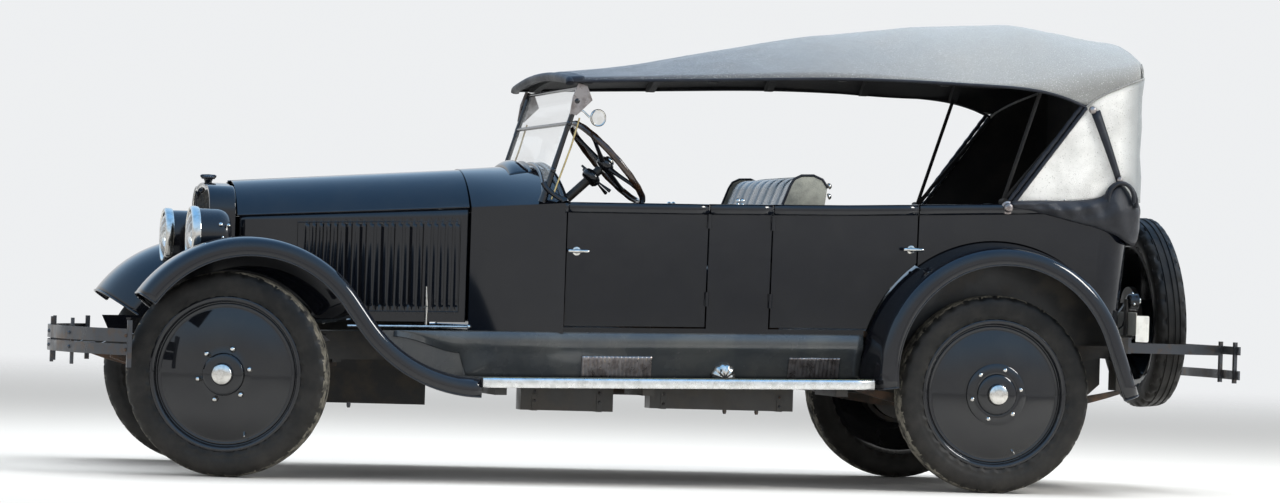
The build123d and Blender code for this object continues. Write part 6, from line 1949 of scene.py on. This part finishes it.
def make_bumper_bolts():
    clean = []
    rusty = []
    for y in (-778, -360, 0, 360, 778):
        target = rusty if abs(y) > 700 else clean
        for z in (512, 570):
            target.append((P(-bow_d(*FRONT_BOW, y), y, z), 8, (-1, y / 1420, 0)))
    for y in (-700, -440, 440, 700):
        target = rusty if abs(y) > 600 else clean
        for z in (531, 637):
            target.append((P(WHEELBASE + bow_d(*REAR_BOW, y), y, z), 8, (1, y / 4800, 0)))
    domes("bumper_bolts", clean, STEEL, crease=50)
    domes("bumper_end_bolts", rusty, RUST, crease=50)


def spring_z(spring, u):
    """Height of a spring's main leaf, at a place from -1 to 1 along it."""
    _, z0, _, z1, mid, _ = spring
    chord = mix(z0, z1, (u + 1) / 2)
    return chord - (chord - mid) * (1 - u * u) + 24 * (1 - u * u)


def make_spring_leaves():
    items = []
    for spring in (FRONT_SPRING, REAR_SPRING):
        d0, _, d1, _, _, y = spring
        for side in (-1, 1):
            for k in range(7):
                share = 1 - 0.115 * k
                width = 25.8 - 0.1 * k
                upper = [(mix(d0, d1, (u + 1) / 2), spring_z(spring, u) - 7.0 * k) for u in steps(-share,
                                                                                                  share,
                                                                                                  20)]
                lower = [(d, z - 6.0) for d, z in reversed(upper)]
                items.append(side_plate(upper + lower, side * y - width, side * y + width))
    prisms("spring_leaves", items, RUST, crease=40)
    clips = []
    for spring, d in ((FRONT_SPRING, -250), (FRONT_SPRING, 240), (REAR_SPRING, 2950), (REAR_SPRING, 3560)):
        d0, _, d1, _, _, y = spring
        top = spring_z(spring, 2 * (d - d0) / (d1 - d0) - 1) + 4
        for side in (-1, 1):
            clips.append(brick(d - 11, d + 11, side * y - 31, side * y + 31, top - 42, top))
    prisms("spring_clips", clips, CHASSIS, bevel=2, crease=30)


def make_cabin():
    places = [(1374, -120, 1100, 46), (1374, 0, 1104, 54), (1374, 120, 1100, 46)]
    for number, (d, y, z, r) in enumerate(places):
        stand = Matrix.Translation(P(d, y, z)) @ FACE_BACK
        rim = [(0, 0), (r, 0), (r + 4, 3), (r + 4, 7), (r, 10), (r - 4, 8), (r - 5, 4), (0, 4)]
        lathe("dial_rim_%d" % number, rim, NICKEL, turns=48, place=stand, crease=40)
        lathe("dial_face_%d" % number, [(0, 4.5), (r - 6, 4.5), (r - 6, 5.5), (0, 5.5)], PLATE, turns=40,
              place=stand,
              crease=30)
        a = math.radians(40 + 55 * number)
        tip = P(d + 7.5, y + (r - 14) * math.cos(a), z + (r - 14) * math.sin(a))
        tubes("dial_hand_%d" % number, [[P(d + 7.5, y, z), tip]], [1.8, 0.9], CAP_BLACK, sides=6)
    domes("dash_switches", [(P(1374, y, 1050), 9, (1, 0, 0)) for y in (-70, -35, 35, 70)], NICKEL)
    tubes("gear_lever", [[P(1530, 6, 778), P(1560, 6, 930), P(1622, 4, 1120), P(1634, 2, 1150)]],
          [11, 9, 7, 7],
          LAMP_PAINT, sides=14)
    ball = [(0, -22), (12, -18), (20, -8), (21, 2), (16, 13), (7, 19), (0, 20)]
    upright = turned(90, "X")
    lathe("gear_knob", ball, CAP_BLACK, turns=32, place=Matrix.Translation(P(1640, 2, 1166)) @ upright,
          crease=60)
    tubes("hand_brake", [[P(1570, 96, 778), P(1600, 96, 900), P(1668, 96, 1040)]], [9, 8, 8], LAMP_PAINT,
          sides=12)
    tubes("hand_brake_grip", [[P(1655, 96, 1014), P(1700, 96, 1106)]], 13, RUBBER, sides=16)
    for number, y in enumerate((6, 96)):
        gaiter = [(0, 0), (44, 0), (44, 4), (34, 8), (36, 13), (24, 18), (25, 23), (14, 30), (0, 32)]
        lathe("lever_gaiter_%d" % number, gaiter, RUBBER, turns=32,
              place=Matrix.Translation(P(1530 + 40 * number, y, 766)) @ upright, crease=40)
    pads = []
    stems = []
    for y in (-420, -290):
        pads.append(side_plate([(1478, 906), (1492, 912), (1522, 846), (1508, 840)], y - 36, y + 36))
        stems.append([P(1500, y, 874), P(1470, y, 850), P(1420, y, 800)])
    prisms("pedal_pads", pads, RUBBER, bevel=3, crease=30)
    tubes("pedal_stems", stems, 8, LAMP_PAINT, sides=12)


def make_under_details():
    plugs = []
    for d, y, z in ((2141, -462, 320), (2282, -462, 320), (558, -200, 300)):
        plugs.append([P(d, y, z + 4), P(d, y, z - 9), P(d, y, z - 18)])
    tubes("drain_plugs", plugs, [9, 9, 6], STEEL, sides=6, crease=30)
    bands = []
    for d0, d1, low in ((1240, 1640, 300), (1800, 2430, 320)):
        for d in (d0 + 60, d1 - 60):
            bands.append(brick(d - 12, d + 12, -513, -412, low - 2, low + 70))
    prisms("under_box_bands", bands, CHASSIS, bevel=1, crease=30)
    bolts = []
    for d in (1300, 1580, 1860, 2370):
        bolts += [(P(d, -513, 340), 6, (0, -1, 0)), (P(d, -513, 378), 6, (0, -1, 0))]
    domes("under_box_bolts", bolts, STEEL, crease=50)
    heads = []
    for d in (-380, 40, 620, 980, 1420, 1760, 2200, 2560):
        y = 436 if d > 900 else mix(382, 436, ease((d + 100) / 900))
        for side in (-1, 1):
            heads.append((P(d, side * y, FRAME_TOP + RAKE * d - 22), 6, (0, side, 0)))
    for d in (3395, 3960):
        heads += [(P(d, side * 437, 640), 7, (0, side, 0)) for side in (-1, 1)]
    domes("frame_rivets", heads, CHASSIS, crease=50)


make_rear_lamp()
make_bumper_bolts()
make_spring_leaves()
make_cabin()
make_under_details()


# CAD nodes that keep their shape

KEPT = {
    "frame_rails": CHASSIS, "front_axle": CHASSIS, "rear_axle": CHASSIS, "leaf_springs": RUST,
    "engine_block": IRON, "exhaust": RUST, "fuel_tank": CHASSIS, "under_boxes": CHASSIS,
    "front_bumper": STEEL, "rear_bumper": STEEL, "tail_lamp": CHASSIS, "radiator_shell": PAINT,
    "radiator_core": CORE, "headlamps": PAINT, "headlamp_lenses": LENS, "running_boards": MAT,
    "splash_aprons": APRON_DUST_AND_PAINTED_REFLECTION, "body_cowl": PAINT, "body_floor": WOOD, "body_sides": PAINT,
    "body_rear": PAINT,
    "front_seat": TRIM, "rear_seat": TRIM, "windshield_frame": PAINT, "window_glass": GLASS,
    "steering_column": CHASSIS, "roof_canopy": TOP_CLOTH_PAINTED_SHEEN, "roof_bows": LINING, "steering_wheel": RIM_WOOD,
    "tie_rod": CHASSIS, "knuckle_left": CHASSIS, "knuckle_right": CHASSIS,
    "bonnet_top_left": PAINT, "bonnet_top_right": PAINT, "bonnet_side_left": PAINT,
    "bonnet_side_right": PAINT,
    "door_front_left": PAINT, "door_front_right": PAINT, "door_rear_left": PAINT, "door_rear_right": PAINT,
    "board_brackets": CHASSIS, "spare_carrier": CHASSIS,
}
for name, material in KEPT.items():
    if name in nodes:
        nodes[name].data.materials.clear()
        nodes[name].data.materials.append(material)
